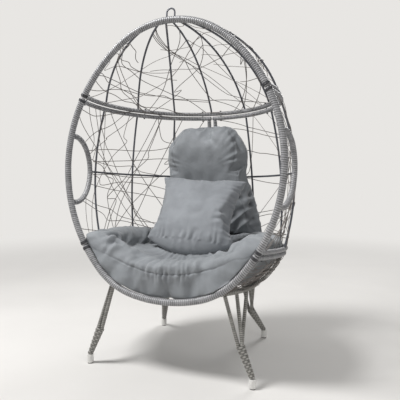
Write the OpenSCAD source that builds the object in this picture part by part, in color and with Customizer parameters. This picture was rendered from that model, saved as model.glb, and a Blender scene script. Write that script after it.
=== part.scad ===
// Standing egg chair: an open basket of wrapped tubes, steel ribs and loose strands,
// on four splayed legs, with a nest cushion and a throw pillow.
// Lengths are millimetres, angles are degrees. +Z is up, the chair faces -Y.

/* [Opening of the egg] */
// Height of the opening, between centre lines of the rim tube
egg_h = 1145; // [1100:5:1200]
// Half width of the opening at its widest place
egg_half_w = 476; // [450:2:500]
// Height of the widest place above the rim's lowest centre point
widest_v = 555; // [520:5:590]
// Radius of the arc over the top
top_r = 375; // [330:5:410]
// Radius of the flat arc at the bottom
low_r = 600; // [560:10:640]
// Sweep of the flat arc to each side
low_sweep = 13.5; // [12:0.5:15]
// Radius of the two lower corners
corner_r = 328; // [300:2:345]
// Height of the rim's lowest centre point above the floor
rim_z = 310; // [290:5:340]
// Lean of the opening to the back
rim_lean = 4; // [2:0.5:6]

/* [Depth of the basket] */
// Height of the base ring above the floor
base_z = 358; // [345:1:370]
// Depth of the base ring
base_depth = 560; // [520:5:590]
// Depth at the seam between bowl and middle
low_depth = 660; // [620:5:690]
// Depth half way up the middle
mid_depth = 605; // [570:5:640]
// Depth at the seam between middle and dome
high_depth = 538; // [500:5:570]
// Height of the lower seam on the rim
low_seam_v = 210; // [190:5:230]
// Height of the upper seam on the rim
high_seam_v = 848; // [820:4:870]
// Open gap of a seam
seam_gap = 2; // [1.5:0.5:4]
// Radius of a seam bolt
bolt_r = 2.5; // [2:0.5:3]

/* [Tubes and rods] */
// Radius of the wrapped rim tube
rim_r = 14; // [12:0.5:16]
// Radius of the wrapped ring bars and back posts
bar_r = 10; // [8:0.5:11]
// Radius of the wrapped arm loops
arm_r = 12; // [10:0.5:13]
// Radius of the steel ribs and rods
rod_r = 4.5; // [3.5:0.5:5]
// Radius of the wrapped rods in the bowl
bowl_rod_r = 7; // [6:0.5:8]
// Clearance where one piece seats on another
seat_gap = 0.3; // [0.2:0.05:0.4]

/* [Dome] */
// Spacing of the ribs where they leave the top of the rim
rib_pitch = 22; // [18:1:26]
// Rise of a rib above its chord
rib_bow = 72; // [50:2:90]
// Radius of the wire of the hanging loop
loop_wire_r = 3.5; // [3:0.5:4]
// Inner radius of the hanging loop
loop_r = 14; // [10:1:18]
// Straight height of the hanging loop
loop_h = 14; // [8:1:20]

/* [Middle] */
// Height of the arm loop's centre on the rim
arm_v = 541; // [520:1:560]
// Half height of the arm loop where it meets the rim
arm_half_h = 142; // [120:2:160]
// Sweep of the side wall from the rim to the arm loop's back
arm_sweep = 21.5; // [17:0.5:22]
// Half spacing of the two back posts
post_x = 16; // [14:1:20]

/* [Strands] */
// Width of a flat strand
strand_w = 4; // [3:0.5:5]
// Thickness of a flat strand
strand_t = 2.4; // [2:0.2:3]
// Clearance between a strand and the rod that it crosses
strand_clear = 0.7; // [0.5:0.1:0.9]
// Number of strand lines of each slant in the dome
dome_lines = 28; // [12:1:30]
// Bays that a strand of the dome runs across
dome_span = 4; // [3:0.5:5]
// Number of strand lines of each slant in a middle panel
middle_lines = 18; // [8:1:20]
// Rise of a strand in a middle panel over one bay
middle_rise = 85; // [60:5:110]
// Number of strand lines of each slant in the bowl
bowl_lines = 18; // [8:1:20]
// Bays that a strand of the bowl runs across
bowl_span = 2; // [1.5:0.5:3]

/* [Legs] */
// Half spacing of the front feet
front_foot_x = 365; // [340:5:380]
// Depth of the front feet
front_foot_y = 22; // [10:2:40]
// Half spacing of the back feet
back_foot_x = 277; // [250:5:300]
// Depth of the back feet
back_foot_y = 602; // [580:2:620]
// Height of the place where the three tubes of a leg part
split_z = 160; // [150:2:175]
// Inward step of a front leg from its foot to that place
front_step_x = 50; // [40:2:60]
// Backward step of a front leg from its foot to that place
front_step_y = 8; // [0:2:20]
// Inward step of a back leg from its foot to that place
back_step_x = 47; // [40:1:55]
// Forward step of a back leg from its foot to that place
back_step_y = 86; // [76:2:96]
// Radius of a leg tube
leg_r = 8; // [6:0.5:9]
// Radius of a foot cap
cap_r = 14; // [12:0.5:16]
// Height of a foot cap
cap_h = 36; // [30:1:42]
// Thickness of the glide under a cap
glide_h = 3; // [2:0.5:4]

/* [Cushions] */
// Clearance between the nest cushion and the middle's wall
nest_clear = 34; // [30:1:40]
// Clearance between the nest cushion and the bowl's wall
bowl_clear = 36; // [34:1:45]
// Clearance between the nest's front corners and the rim tube
rim_clear = 5; // [4:1:10]
// Clearance between the back pad and the middle's wall
pad_clear = 24; // [22:1:30]
// Height of the nest's front roll on the rim
nest_front_v = 140; // [120:5:160]
// Height of the nest's side wings on the rim
nest_side_v = 282; // [260:2:300]
// Height of the nest's back roll on the rim
nest_back_v = 235; // [220:5:250]
// Thickness of the nest's seat
nest_seat_h = 95; // [80:5:110]
// Width of the nest's roll
nest_roll_w = 130; // [110:5:150]
// Width of the back pad along the wall, at its foot
pad_low_w = 640; // [560:10:680]
// Width of the back pad along the wall, near its top
pad_high_w = 470; // [420:10:520]
// Height of the back pad
pad_h = 560; // [500:10:580]
// Thickness of the back pad at its middle
pad_t = 120; // [90:5:140]
// Side of the throw pillow
pillow_side = 390; // [340:10:420]
// Thickness of the throw pillow at its middle
pillow_t = 130; // [100:5:150]
// Lean of the throw pillow to the back
pillow_lean = 30; // [20:1:36]

/* [Hidden] */

// Facets of a full turn: arcs along a tube, and the tube's own section
arc_fn = 240;
tube_fn = 48;

// Bays between rim, ribs and rim, counted along a level from the left rim to the right
bays = 8;

// Bars beside the two seams
seam_step = bar_r + seam_gap / 2;
dome_ring_v = high_seam_v + seam_step;
top_bar_v = high_seam_v - seam_step;
bottom_bar_v = low_seam_v + seam_step;
bowl_ring_v = low_seam_v - seam_step;

// Upper side arc, from the widest place to the top arc
upper_rise = egg_h - top_r - widest_v;
upper_r = (egg_half_w ^ 2 + upper_rise ^ 2 - top_r ^ 2) / (2 * (egg_half_w - top_r));
upper_x = egg_half_w - upper_r;
top_start = atan2(upper_rise, -upper_x);

// Lower side arc, from the corner arc to the widest place
corner_x = (low_r - corner_r) * sin(low_sweep);
corner_v = low_r - (low_r - corner_r) * cos(low_sweep);
corner_in = corner_x - egg_half_w;
lower_r = (corner_r ^ 2 - corner_in ^ 2 - (corner_v - widest_v) ^ 2) / (2 * (corner_in + corner_r));
lower_x = egg_half_w - lower_r;
corner_end = atan2(corner_v - widest_v, corner_x - lower_x);

// Right half of the rim's centre line: centre, radius, first and last angle of each arc
rim_arcs = [
    [0, low_r, low_r, -90, low_sweep - 90],
    [corner_x, corner_v, corner_r, low_sweep - 90, corner_end],
    [lower_x, widest_v, lower_r, corner_end, 0],
    [upper_x, widest_v, upper_r, 0, top_start],
    [0, egg_h - top_r, top_r, top_start, 90]
];

// Base ring: a level circle from the rim round the back
base_v = (base_z - rim_z) / cos(rim_lean);
base_rim_y = base_v * sin(rim_lean);
base_reach = base_depth - base_rim_y;
base_half_w = rim_w(base_v);
base_r = (base_half_w ^ 2 + base_reach ^ 2) / (2 * base_reach);
base_y = base_depth - base_r;
base_turn = asin((base_y - base_rim_y) / base_r);

function unit(v) = v / norm(v);
function mix(a, b, t) = a * (1 - t) + b * t;
function degrees(length, r) = length / r * 180 / PI;
function smooth(t) = let (c = min(max(t, 0), 1)) c * c * (3 - 2 * c);

// Length cut from a tube's end so that its flat face clears the tube that it meets
function end_trim(carrier_r, r, a, b) =
    let (slant = abs(a * b)) (carrier_r + seat_gap + r * slant) / sqrt(1 - slant ^ 2);

// Height of an arc's start and end on the rim
function arc_low(a) = a[1] + a[2] * sin(a[3]);
function arc_high(a) = a[1] + a[2] * sin(a[4]);

// Half width of the rim's centre line at a height
function rim_w(v) = [
    for (a = rim_arcs)
        if (v >= arc_low(a) - 0.01 && v <= arc_high(a) + 0.01)
            a[0] + sqrt(max(a[2] ^ 2 - (v - a[1]) ^ 2, 0))
][0];

// The rim's arcs between two heights
function rim_between(v0, v1) = [
    for (a = rim_arcs)
        if (arc_high(a) > v0 && arc_low(a) < v1) [
            a[0], a[1], a[2],
            arc_low(a) >= v0 ? a[3] : asin((v0 - a[1]) / a[2]),
            arc_high(a) <= v1 ? a[4] : asin((v1 - a[1]) / a[2])
        ]
];

// Depth of the basket at a height, smooth through the named depths
function middle_depth(t) =
    low_depth * (1 - t) * (1 - 2 * t) + mid_depth * 4 * t * (1 - t) + high_depth * t * (2 * t - 1);
function depth_at(v) =
    v >= low_seam_v
    ? middle_depth((v - low_seam_v) / (high_seam_v - low_seam_v))
    : mix(low_depth, base_depth, ((low_seam_v - v) / (low_seam_v - base_v)) ^ 2);

// The chair stands centred on the origin between its front and back
chair_front = -rim_r;
chair_back = depth_at(bottom_bar_v) * cos(rim_lean) + bottom_bar_v * sin(rim_lean) + bar_r;
centre_y = (chair_front + chair_back) / 2;

// A level of the basket is a circle through both rim points and the back: its radius and centre
function level(v) =
    let (w = rim_w(v), d = depth_at(v), r = (w ^ 2 + d ^ 2) / (2 * d))
    [r, d - r];

// Angle past a half circle that the level reaches on each side
function level_turn(v) = let (l = level(v)) asin(l[1] / l[0]);

// Angle of the place in bay units, 0 at the left rim and 8 at the right rim
function level_angle(v, k) = let (s = level_turn(v)) 180 + s - k / bays * (180 + 2 * s);
function level_point(v, k) =
    let (l = level(v), a = level_angle(v, k))
    [l[0] * cos(a), l[1] + l[0] * sin(a), v];

function level_dir(v, k) = let (a = level_angle(v, k)) [-sin(a), cos(a), 0];

// Direction of the right half of the rim at a height
function rim_dir(v) = unit([rim_w(v + 1) - rim_w(v - 1), 0, 2]);

// Arc through three points: centre, two unit vectors, normal, radius and sweep
function arc_through(a, b, c) =
    let (
        n = cross(b - a, c - a),
        o = a + (cross(n, b - a) * ((c - a) * (c - a)) + cross(c - a, n) * ((b - a) * (b - a)))
            / (2 * (n * n)),
        e1 = unit(a - o),
        e3 = unit(n),
        e2 = cross(e3, e1),
        sweep = atan2((c - o) * e2, (c - o) * e1)
    )
    [o, e1, e2, e3, norm(a - o), sweep < 0 ? sweep + 360 : sweep];

function arc_point(arc, angle) = arc[0] + arc[4] * (cos(angle) * arc[1] + sin(angle) * arc[2]);

function arc_dir(arc, angle) = cos(angle) * arc[2] - sin(angle) * arc[1];
function arc_part(arc, t) = arc_point(arc, arc[5] * t);

// Rib k of the dome runs from the top of the rim to the dome ring
function rib_x(k) = (k - bays / 2) * rib_pitch;
function top_v(x) = egg_h - top_r + sqrt(top_r ^ 2 - x ^ 2);
function rib_start(k) = [rib_x(k), 0, top_v(rib_x(k))];
function top_dir(k) = unit([top_r ^ 2 - rib_x(k) ^ 2, 0, -rib_x(k) * sqrt(top_r ^ 2 - rib_x(k) ^ 2)]);
function rib_arc(k) =
    let (
        a = rib_start(k),
        c = level_point(dome_ring_v, k),
        middle = (a + c) / 2,
        inner = [0, level(dome_ring_v)[1], widest_v],
        along = unit(c - a),
        out = middle - inner,
        rise = unit(out - (out * along) * along)
    )
    arc_through(a, middle + rib_bow * rise, c);

// Rod k of the middle runs from the bottom bar to the top bar
function rod_arc(k) =
    arc_through(level_point(bottom_bar_v, k), level_point(arm_v, k), level_point(top_bar_v, k));

// A back post stands beside the middle of the back
function post_point(v, x) = let (l = level(v)) [x, l[1] + sqrt(l[0] ^ 2 - x ^ 2), v];
function post_arc(x) =
    arc_through(post_point(bottom_bar_v, x), post_point(arm_v, x), post_point(top_bar_v, x));

// The left arm loop runs from the rim to the side wall and back to the rim
arm_k = bays * arm_sweep / (180 + 2 * level_turn(arm_v));
arm_arc = arc_through(
    [-rim_w(arm_v - arm_half_h), 0, arm_v - arm_half_h],
    level_point(arm_v, arm_k),
    [-rim_w(arm_v + arm_half_h), 0, arm_v + arm_half_h]
);

// Places in the basket's leaning frame and in the upright one
function to_basket(p) = [
    p[0],
    p[1] * cos(rim_lean) - (p[2] - rim_z) * sin(rim_lean),
    p[1] * sin(rim_lean) + (p[2] - rim_z) * cos(rim_lean)
];
function base_point(angle) = [base_r * cos(angle), base_y + base_r * sin(angle), base_z];

function base_angle(k) = 180 + base_turn - k / bays * (180 + 2 * base_turn);
function base_dir(k) =
    unit(to_basket(base_point(base_angle(k) + 1)) - to_basket(base_point(base_angle(k) - 1)));

// Rod k of the bowl runs from the bowl ring in and down to the base ring
bowl_rod_bow = 14;
function bowl_rod_arc(k) =
    let (
        a = level_point(bowl_ring_v, k),
        c = to_basket(base_point(base_angle(k))),
        middle = (a + c) / 2,
        inner = [0, level(bowl_ring_v)[1], widest_v],
        along = unit(c - a),
        out = middle - inner,
        rise = unit(out - (out * along) * along)
    )
    arc_through(a, middle + bowl_rod_bow * rise, c);

// Draws the children in the basket's leaning frame
module in_basket() {
    translate([0, -centre_y, rim_z]) rotate([-rim_lean, 0, 0]) children();
}

// Draws the children in the upright frame
module in_chair() {
    translate([0, -centre_y, 0]) children();
}

module ring_piece(radius, r, from, to) {
    rotate([0, 0, from])
        rotate_extrude(angle = to - from, $fn = arc_fn)
            translate([radius, 0])
                circle(r, $fn = tube_fn);
}

// Draws an arc as a round tube, shortened at each end
module arc_tube(arc, r, trim_start, trim_end) {
    o = arc[0];
    e1 = arc[1];
    e2 = arc[2];
    e3 = arc[3];
    multmatrix([
        [e1[0], e2[0], e3[0], o[0]],
        [e1[1], e2[1], e3[1], o[1]],
        [e1[2], e2[2], e3[2], o[2]],
        [0, 0, 0, 1]
    ])
        ring_piece(arc[4], r, degrees(trim_start, arc[4]), arc[5] - degrees(trim_end, arc[4]));
}

// The bends of the rim's tube meet at hairline joints
hairline = 0.05;
module rim_arc(x, v, r, from, to) {
    translate([x, 0, v])
        rotate([90, 0, 0])
            ring_piece(r, rim_r, from + degrees(hairline, r), to - degrees(hairline, r));
}
module rim_tube(v0, v1) {
    for (a = rim_between(v0, v1))
        rim_arc(a[0], a[1], a[2], a[3], a[4]);
}

// A level bar from one angle to another
module level_bar(v, from, to) {
    l = level(v);
    translate([0, l[1], v]) ring_piece(l[0], bar_r, from, to);
}

function left_rim_dir(v) = let (d = rim_dir(v)) [-d[0], 0, d[2]];

// Angle that a level bar stays short of the rim's centre line
function level_trim(v) =
    degrees(end_trim(rim_r, bar_r, level_dir(v, bays), rim_dir(v)), level(v)[0]);
function right_end(v) = -level_turn(v) + level_trim(v);
function left_end(v) = 180 + level_turn(v) - level_trim(v);

// Seam bolts pass through both bars of a seam, at these places in bay units
bolt_head_r = 4.5;
bolt_head_h = 3;
bolt_bore_r = bolt_r + 0.2;
bolt_places = [0.2, 2.2, 3.75];
bolt_all = concat(bolt_places, [for (k = bolt_places) bays - k]);

// Centres of the lower and the upper bar at a place of a seam, square across both bars
function seam_low(seam_v, k) = level_point(seam_v - seam_step, k);
function seam_high(seam_v, k) =
    let (
        low = seam_low(seam_v, k),
        d = level_point(seam_v + seam_step, k) - low,
        along = level_dir(seam_v, k)
    )
    low + d - (d * along) * along;
function seam_half(seam_v, k) = norm(seam_high(seam_v, k) - seam_low(seam_v, k)) / 2;

// Puts the children at a place of a seam, with +Z from the lower bar's centre to the upper's
module on_seam(seam_v, k) {
    low = seam_low(seam_v, k);
    high = seam_high(seam_v, k);
    o = (low + high) / 2;
    e3 = unit(high - low);
    e1 = unit(cross([0, 1, 0], e3));
    e2 = cross(e3, e1);
    multmatrix([
        [e1[0], e2[0], e3[0], o[0]],
        [e1[1], e2[1], e3[1], o[1]],
        [e1[2], e2[2], e3[2], o[2]],
        [0, 0, 0, 1]
    ])
        children();
}
module bolt_bores(seam_v, places) {
    for (k = places)
        on_seam(seam_v, k)
            cylinder(r = bolt_bore_r, h = 6 * bar_r, center = true, $fn = tube_fn);
}

module seam_bar(v, seam_v, from, to, places) {
    difference() {
        level_bar(v, from, to);
        bolt_bores(seam_v, places);
    }
}

// Half bars stop short of the middle of the back
back_gap = 3;
ring_reach = 0.9;
function back_end(v) = 90 + asin(back_gap / level(v)[0]);

module dome_rim() {
    color("#8b8d93")
        in_basket() {
            rim_arc(0, egg_h - top_r, top_r, top_start, 180 - top_start);
            rim_tube(high_seam_v + seam_gap / 2, arc_low(rim_arcs[4]));
            mirror([1, 0, 0]) rim_tube(high_seam_v + seam_gap / 2, arc_low(rim_arcs[4]));
        }
}

module dome_ring() {
    color("#7d7f85")
        in_basket()
            seam_bar(dome_ring_v, high_seam_v, right_end(dome_ring_v), left_end(dome_ring_v), bolt_all);
}

module dome_ribs() {
    color("#4a4d55")
        in_basket()
            for (k = [1:bays - 1])
                arc_tube(
                    rib_arc(k), rod_r,
                    end_trim(rim_r, rod_r, rib_arc(k)[2], top_dir(k)),
                    end_trim(bar_r, rod_r, arc_dir(rib_arc(k), rib_arc(k)[5]), level_dir(dome_ring_v, k))
                );
}

module hanging_loop() {
    loop_bottom = egg_h + rim_r + seat_gap;
    centre_r = loop_r + loop_wire_r;
    color("#6a6c72")
        in_basket()
            translate([0, 0, loop_bottom]) {
                for (x = [-centre_r, centre_r])
                    translate([x, 0, 0]) cylinder(r = loop_wire_r, h = loop_h, $fn = tube_fn);
                translate([0, 0, loop_h]) rotate([90, 0, 0]) ring_piece(centre_r, loop_wire_r, 0, 180);
            }
}

module left_rim() {
    color("#8b8d93")
        in_basket()
            mirror([1, 0, 0])
                rim_tube(low_seam_v + seam_gap / 2, high_seam_v - seam_gap / 2);
}

module left_top_bar() {
    color("#7d7f85")
        in_basket()
            seam_bar(top_bar_v, high_seam_v, back_end(top_bar_v), left_end(top_bar_v), bolt_places);
}

module left_bottom_bar() {
    color("#7d7f85")
        in_basket()
            seam_bar(
                bottom_bar_v, low_seam_v, back_end(bottom_bar_v), left_end(bottom_bar_v), bolt_places
            );
}

module left_post() {
    color("#7d7f85")
        in_basket()
            arc_tube(post_arc(-post_x), bar_r, bar_r + seat_gap, bar_r + seat_gap);
}

module left_arm_loop() {
    color("#85878d")
        in_basket()
            arc_tube(
                arm_arc, arm_r,
                end_trim(rim_r, arm_r, arm_arc[2], left_rim_dir(arm_v - arm_half_h)),
                end_trim(
                    rim_r, arm_r, arc_dir(arm_arc, arm_arc[5]), left_rim_dir(arm_v + arm_half_h)
                )
            );
}

module left_rods() {
    color("#4a4d55")
        in_basket()
            for (k = [1:bays / 2 - 1])
                arc_tube(rod_arc(k), rod_r, bar_r + seat_gap, bar_r + seat_gap);
}

// Level rods from the arm loop to the post, one in each bay
module left_crossbar() {
    l = level(arm_v);
    rod_gap = degrees(rod_r + seat_gap, l[0]);
    arm_end = level_angle(arm_v, arm_k) - degrees(arm_r + seat_gap, l[0]);
    post_end = 90 + asin(post_x / l[0]) + degrees(bar_r + seat_gap, l[0]);
    rods = [for (k = [1:bays / 2 - 1]) level_angle(arm_v, k)];
    starts = concat([arm_end], [for (a = rods) a - rod_gap]);
    ends = concat([for (a = rods) a + rod_gap], [post_end]);
    color("#4a4d55")
        in_basket()
            translate([0, l[1], arm_v])
                for (i = [0:len(starts) - 1])
                    ring_piece(l[0], rod_r, ends[i], starts[i]);
}

module right_rim() mirror([1, 0, 0]) left_rim();
module right_top_bar() mirror([1, 0, 0]) left_top_bar();
module right_bottom_bar() mirror([1, 0, 0]) left_bottom_bar();
module right_post() mirror([1, 0, 0]) left_post();
module right_arm_loop() mirror([1, 0, 0]) left_arm_loop();
module right_rods() mirror([1, 0, 0]) left_rods();
module right_crossbar() mirror([1, 0, 0]) left_crossbar();

module bowl_rim() {
    color("#8b8d93")
        in_basket() {
            rim_arc(0, low_r, low_r, -90 - low_sweep, low_sweep - 90);
            rim_tube(arc_high(rim_arcs[0]), low_seam_v - seam_gap / 2);
            mirror([1, 0, 0]) rim_tube(arc_high(rim_arcs[0]), low_seam_v - seam_gap / 2);
        }
}

// The ends of the bowl ring reach further, where the rim bends away from them
module bowl_ring() {
    reach = degrees(ring_reach, level(bowl_ring_v)[0]);
    color("#7d7f85")
        in_basket()
            seam_bar(
                bowl_ring_v, low_seam_v,
                right_end(bowl_ring_v) - reach, left_end(bowl_ring_v) + reach, bolt_all
            );
}

module bowl_rods() {
    color("#85878d")
        in_basket()
            for (k = [1:bays - 1])
                arc_tube(
                    bowl_rod_arc(k), bowl_rod_r,
                    end_trim(bar_r, bowl_rod_r, bowl_rod_arc(k)[2], level_dir(bowl_ring_v, k)),
                    end_trim(
                        bar_r, bowl_rod_r, arc_dir(bowl_rod_arc(k), bowl_rod_arc(k)[5]), base_dir(k)
                    )
                );
}

// Ends of the base ring stop short of the rim
base_end_dir = unit(to_basket(base_point(1 - base_turn)) - to_basket(base_point(-base_turn)));
base_trim = degrees(end_trim(rim_r, bar_r, base_end_dir, rim_dir(base_v)) + seat_gap, base_r);

module base_ring() {
    color("#7d7f85")
        in_chair()
            translate([0, base_y, base_z])
                ring_piece(base_r, bar_r, -base_turn + base_trim, 180 + base_turn - base_trim);
}

// Level bars across the base ring, on which the seat lies
base_bar_step = 120;
base_bar_ys = [base_y - base_bar_step, base_y, base_y + base_bar_step];

module base_bars() {
    inner_r = base_r - bar_r - seat_gap;
    color("#7d7f85")
        in_chair()
            for (y = base_bar_ys) {
                half = sqrt(inner_r ^ 2 - (abs(y - base_y) + bar_r) ^ 2);
                translate([-half, y, base_z])
                    rotate([0, 90, 0])
                        cylinder(r = bar_r, h = 2 * half, $fn = tube_fn);
            }
}

module seam_bolts() {
    color("#3c3d40")
        in_basket()
            for (seam_v = [low_seam_v, high_seam_v], k = bolt_all)
                let (reach = seam_half(seam_v, k) + bar_r + 3 * seat_gap)
                    on_seam(seam_v, k) {
                        translate([0, 0, reach])
                            cylinder(r = bolt_head_r, h = bolt_head_h, $fn = tube_fn);
                        translate([0, 0, -reach - bolt_head_h])
                            cylinder(r = bolt_r, h = 2 * reach + 1.5 * bolt_head_h, $fn = tube_fn);
                    }
}

module seam_nuts() {
    color("#3c3d40")
        in_basket()
            for (seam_v = [low_seam_v, high_seam_v], k = bolt_all)
                on_seam(seam_v, k)
                    translate([0, 0, -seam_half(seam_v, k) - bar_r - 3 * seat_gap - bolt_head_h])
                        difference() {
                            cylinder(r = bolt_head_r, h = bolt_head_h, $fn = 6);
                            translate([0, 0, -1])
                                cylinder(r = bolt_bore_r, h = bolt_head_h + 2, $fn = tube_fn);
                        }
}

// Distance of a strand's centre from the surface that the rods lie in
rod_lift = rod_r + strand_clear + strand_t / 2;
bowl_lift = bowl_rod_r + strand_clear + strand_t / 2;

// Distance of a strand's end from the centre line of the tube that it meets
function strand_stop(r) = sqrt(r ^ 2 - (rod_lift - strand_t / 2) ^ 2) + strand_w / 2 + seat_gap;

// Steady random values between -1 and 1, one for each line and bay
wobble_count = 997;
wobbles = rands(-1, 1, wobble_count, 6);
function wobble(i, j) = wobbles[(i * 37 + j * 101 + 211) % wobble_count];
wobble_share = 0.3;

// A strand ends on a ring well between two rods and clear of the bolts
end_share = 0.34;
function between_rods(k) = floor(k) + min(max(k - floor(k), end_share), 1 - end_share);

// A strand is a list of [point, outward direction] pairs, drawn as a flat strip
function strand_ring(strand, j) =
    let (
        before = strand[max(j - 1, 0)][0],
        after = strand[min(j + 1, len(strand) - 1)][0],
        side = unit(cross(after - before, strand[j][1])) * strand_w / 2,
        up = strand[j][1] * strand_t / 2,
        p = strand[j][0]
    )
    [p + side + up, p - side + up, p - side - up, p + side - up];

function strand_faces(first, rings) = concat(
    [[first, first + 3, first + 2], [first, first + 2, first + 1]],
    [
        for (j = [0:rings - 2], a = [0:3])
            let (p = first + 4 * j + a, q = first + 4 * j + (a + 1) % 4)
                each [[p, q, q + 4], [p, q + 4, p + 4]]
    ],
    let (last = first + 4 * (rings - 1))
        [[last, last + 1, last + 2], [last, last + 2, last + 3]]
);

function running_sum(list) = [
    for (i = 0, total = 0; i < len(list); total = total + list[i], i = i + 1) total
];

module strands(list) {
    counts = [for (strand = list) len(strand)];
    firsts = running_sum(counts);
    polyhedron(
        points = [for (strand = list, j = [0:len(strand) - 1]) each strand_ring(strand, j)],
        faces = [for (i = [0:len(list) - 1]) each strand_faces(4 * firsts[i], counts[i])]
    );
}

// A point moved off the basket's surface along its outward direction n
function lifted(p, n, lift) = [p + lift * n, n];
function level_out(v, k) = let (a = level_angle(v, k)) [cos(a), sin(a), 0];
function arc_lifted(arc, t, lift) =
    let (p = arc_part(arc, t)) lifted(p, unit(p - arc[0]), lift);

// Where a strand leaves a ring at point p in the surface direction d; o points outward
function ring_lifted(p, o, d, lift) =
    lifted(p + d * (bar_r + strand_w / 2 + strand_clear), unit(o - (o * d) * d), lift);

// Where a strand leaves the rim at point p toward point q
function rim_lifted(p, q, lift) =
    let (
        tangent = p[0] > 0 ? rim_dir(p[2]) : left_rim_dir(p[2]),
        d = unit(q - p),
        across = cross(tangent, d),
        n = unit(p[0] > 0 ? across : -across),
        slant = abs(d * tangent)
    )
    lifted(p + d * strand_stop(rim_r) / sqrt(1 - slant ^ 2), n, lift);

// Side column of the dome or bowl: rim points for the first and last, rod points between
function dome_point(k, t) =
    k > 0 && k < bays
    ? arc_part(rib_arc(k), t)
    : let (v = mix(top_v(rib_x(0)), dome_ring_v, t)) [(k == 0 ? -1 : 1) * rim_w(v), 0, v];
function bowl_point(k, t) =
    k > 0 && k < bays
    ? arc_part(bowl_rod_arc(k), t)
    : let (v = mix(bowl_ring_v, base_v, t)) [(k == 0 ? -1 : 1) * rim_w(v), 0, v];

// Line i of the dome starts at a rib near the top and ends at the dome ring
dome_power = 1.5;
dome_rim_t = 0.6;
dome_last_t = 0.96;
dome_top_lift = 0.3;
dome_free_n = rim_r + 4 * rod_lift;
dome_pitch = (bays + dome_span) / dome_lines;
function dome_t(i, k, side) =
    let (
        shift = wobble(i, k + side) * wobble_share * dome_pitch,
        x = (k + shift + dome_span - (i + 0.5) * dome_pitch) / dome_span
    )
    x <= 0 ? 0 : x ^ dome_power;
function dome_end(i, side) =
    let (
        k = between_rods((i + 0.5) * dome_pitch),
        low = floor(k),
        f = k - low,
        up = mix(dome_point(low, 0.9), dome_point(low + 1, 0.9), f)
            - mix(dome_point(low, 1), dome_point(low + 1, 1), f)
    )
    ring_lifted(level_point(dome_ring_v, k), level_out(dome_ring_v, k), unit(up), side * rod_lift);
function dome_strand(i, side) =
    let (
        lift = side * rod_lift,
        last = between_rods((i + 0.5) * dome_pitch),
        t = [for (k = [0:bays]) dome_t(i, k, side)],
        inner = [
            for (k = [1:bays - 1])
                if (k < last && dome_point(k, t[k])[1] > dome_free_n)
                    let (u = min(t[k], dome_last_t))
                        arc_lifted(rib_arc(k), u, lift * (1 + dome_top_lift * (1 - u)))
        ],
        from_rim = t[0] > dome_rim_t && t[0] < 0.95
            ? [rim_lifted(dome_point(0, t[0]), dome_point(1, t[0]), lift)]
            : [],
        to_rim = t[bays] > dome_rim_t && t[bays] < 0.95
            ? [rim_lifted(dome_point(bays, t[bays]), dome_point(bays - 1, t[bays]), lift)]
            : [],
        to_ring = last < bays ? [dome_end(i, side)] : []
    )
    concat(from_rim, inner, last < bays ? to_ring : to_rim);

module dome_net() {
    outer = [for (i = [0:dome_lines - 1]) dome_strand(i, 1)];
    inner = [for (i = [0:dome_lines - 1]) dome_strand(i, -1)];
    color("#77746f")
        in_basket() {
            strands([for (s = outer) if (len(s) > 2) s]);
            mirror([1, 0, 0]) strands([for (s = inner) if (len(s) > 2) s]);
        }
}

// A line of a middle panel is its heights at the left rim and at the next four bay edges
half_bays = bays / 2;
middle_low = bottom_bar_v + strand_stop(bar_r) + strand_clear;
middle_high = top_bar_v - strand_stop(bar_r) - strand_clear;
middle_pitch = (middle_high - middle_low + middle_rise * half_bays) / middle_lines;
function middle_line(i, side) = [
    for (k = [0:half_bays])
        let (
            start = side > 0 ? middle_low - middle_rise * half_bays : middle_low,
            shift = (i + 0.5 + wobble(i + 50, k + side) * wobble_share) * middle_pitch
        )
            start + shift + side * middle_rise * k
];
function line_v(line, k) =
    let (i = min(floor(k), half_bays - 1)) mix(line[i], line[i + 1], k - i);

// True where a strand may run: clear of the bars, the rim, the post and the arm loop
function post_k(v) =
    half_bays - bays * asin((post_x + strand_stop(bar_r)) / level(v)[0]) / (180 + 2 * level_turn(v));
function rim_k(v) = bays * degrees(strand_stop(rim_r), level(v)[0]) / (180 + 2 * level_turn(v));
function off_loop(p) =
    let (d = p - arm_arc[0], h = d * arm_arc[3])
    norm(d - h * arm_arc[3]) > arm_arc[4] + arm_r + strand_w / 2 + seat_gap;
function line_free(line, k) =
    let (v = line_v(line, k))
    v < middle_low || v > middle_high
    ? false
    : k > rim_k(v) && k < post_k(v) && off_loop(level_point(v, k));
function line_edge(line, outside, inside, steps) =
    let (middle = (outside + inside) / 2)
    steps == 0
    ? inside
    : (line_free(line, middle)
        ? line_edge(line, outside, middle, steps - 1)
        : line_edge(line, middle, inside, steps - 1));

// Stretches of a line that are free, as pairs of bay places
scan_steps = 64;
edge_steps = 9;
function line_stretches(line) =
    let (
        places = [for (j = [0:scan_steps]) j * half_bays / scan_steps],
        free = [for (k = places) line_free(line, k)],
        starts = [
            for (j = [1:scan_steps])
                if (free[j] && !free[j - 1]) line_edge(line, places[j - 1], places[j], edge_steps)
        ],
        ends = [
            for (j = [1:scan_steps])
                if (!free[j] && free[j - 1]) line_edge(line, places[j], places[j - 1], edge_steps)
        ]
    )
    [for (i = [0:1:len(starts) - 1]) [starts[i], ends[i]]];

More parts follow.
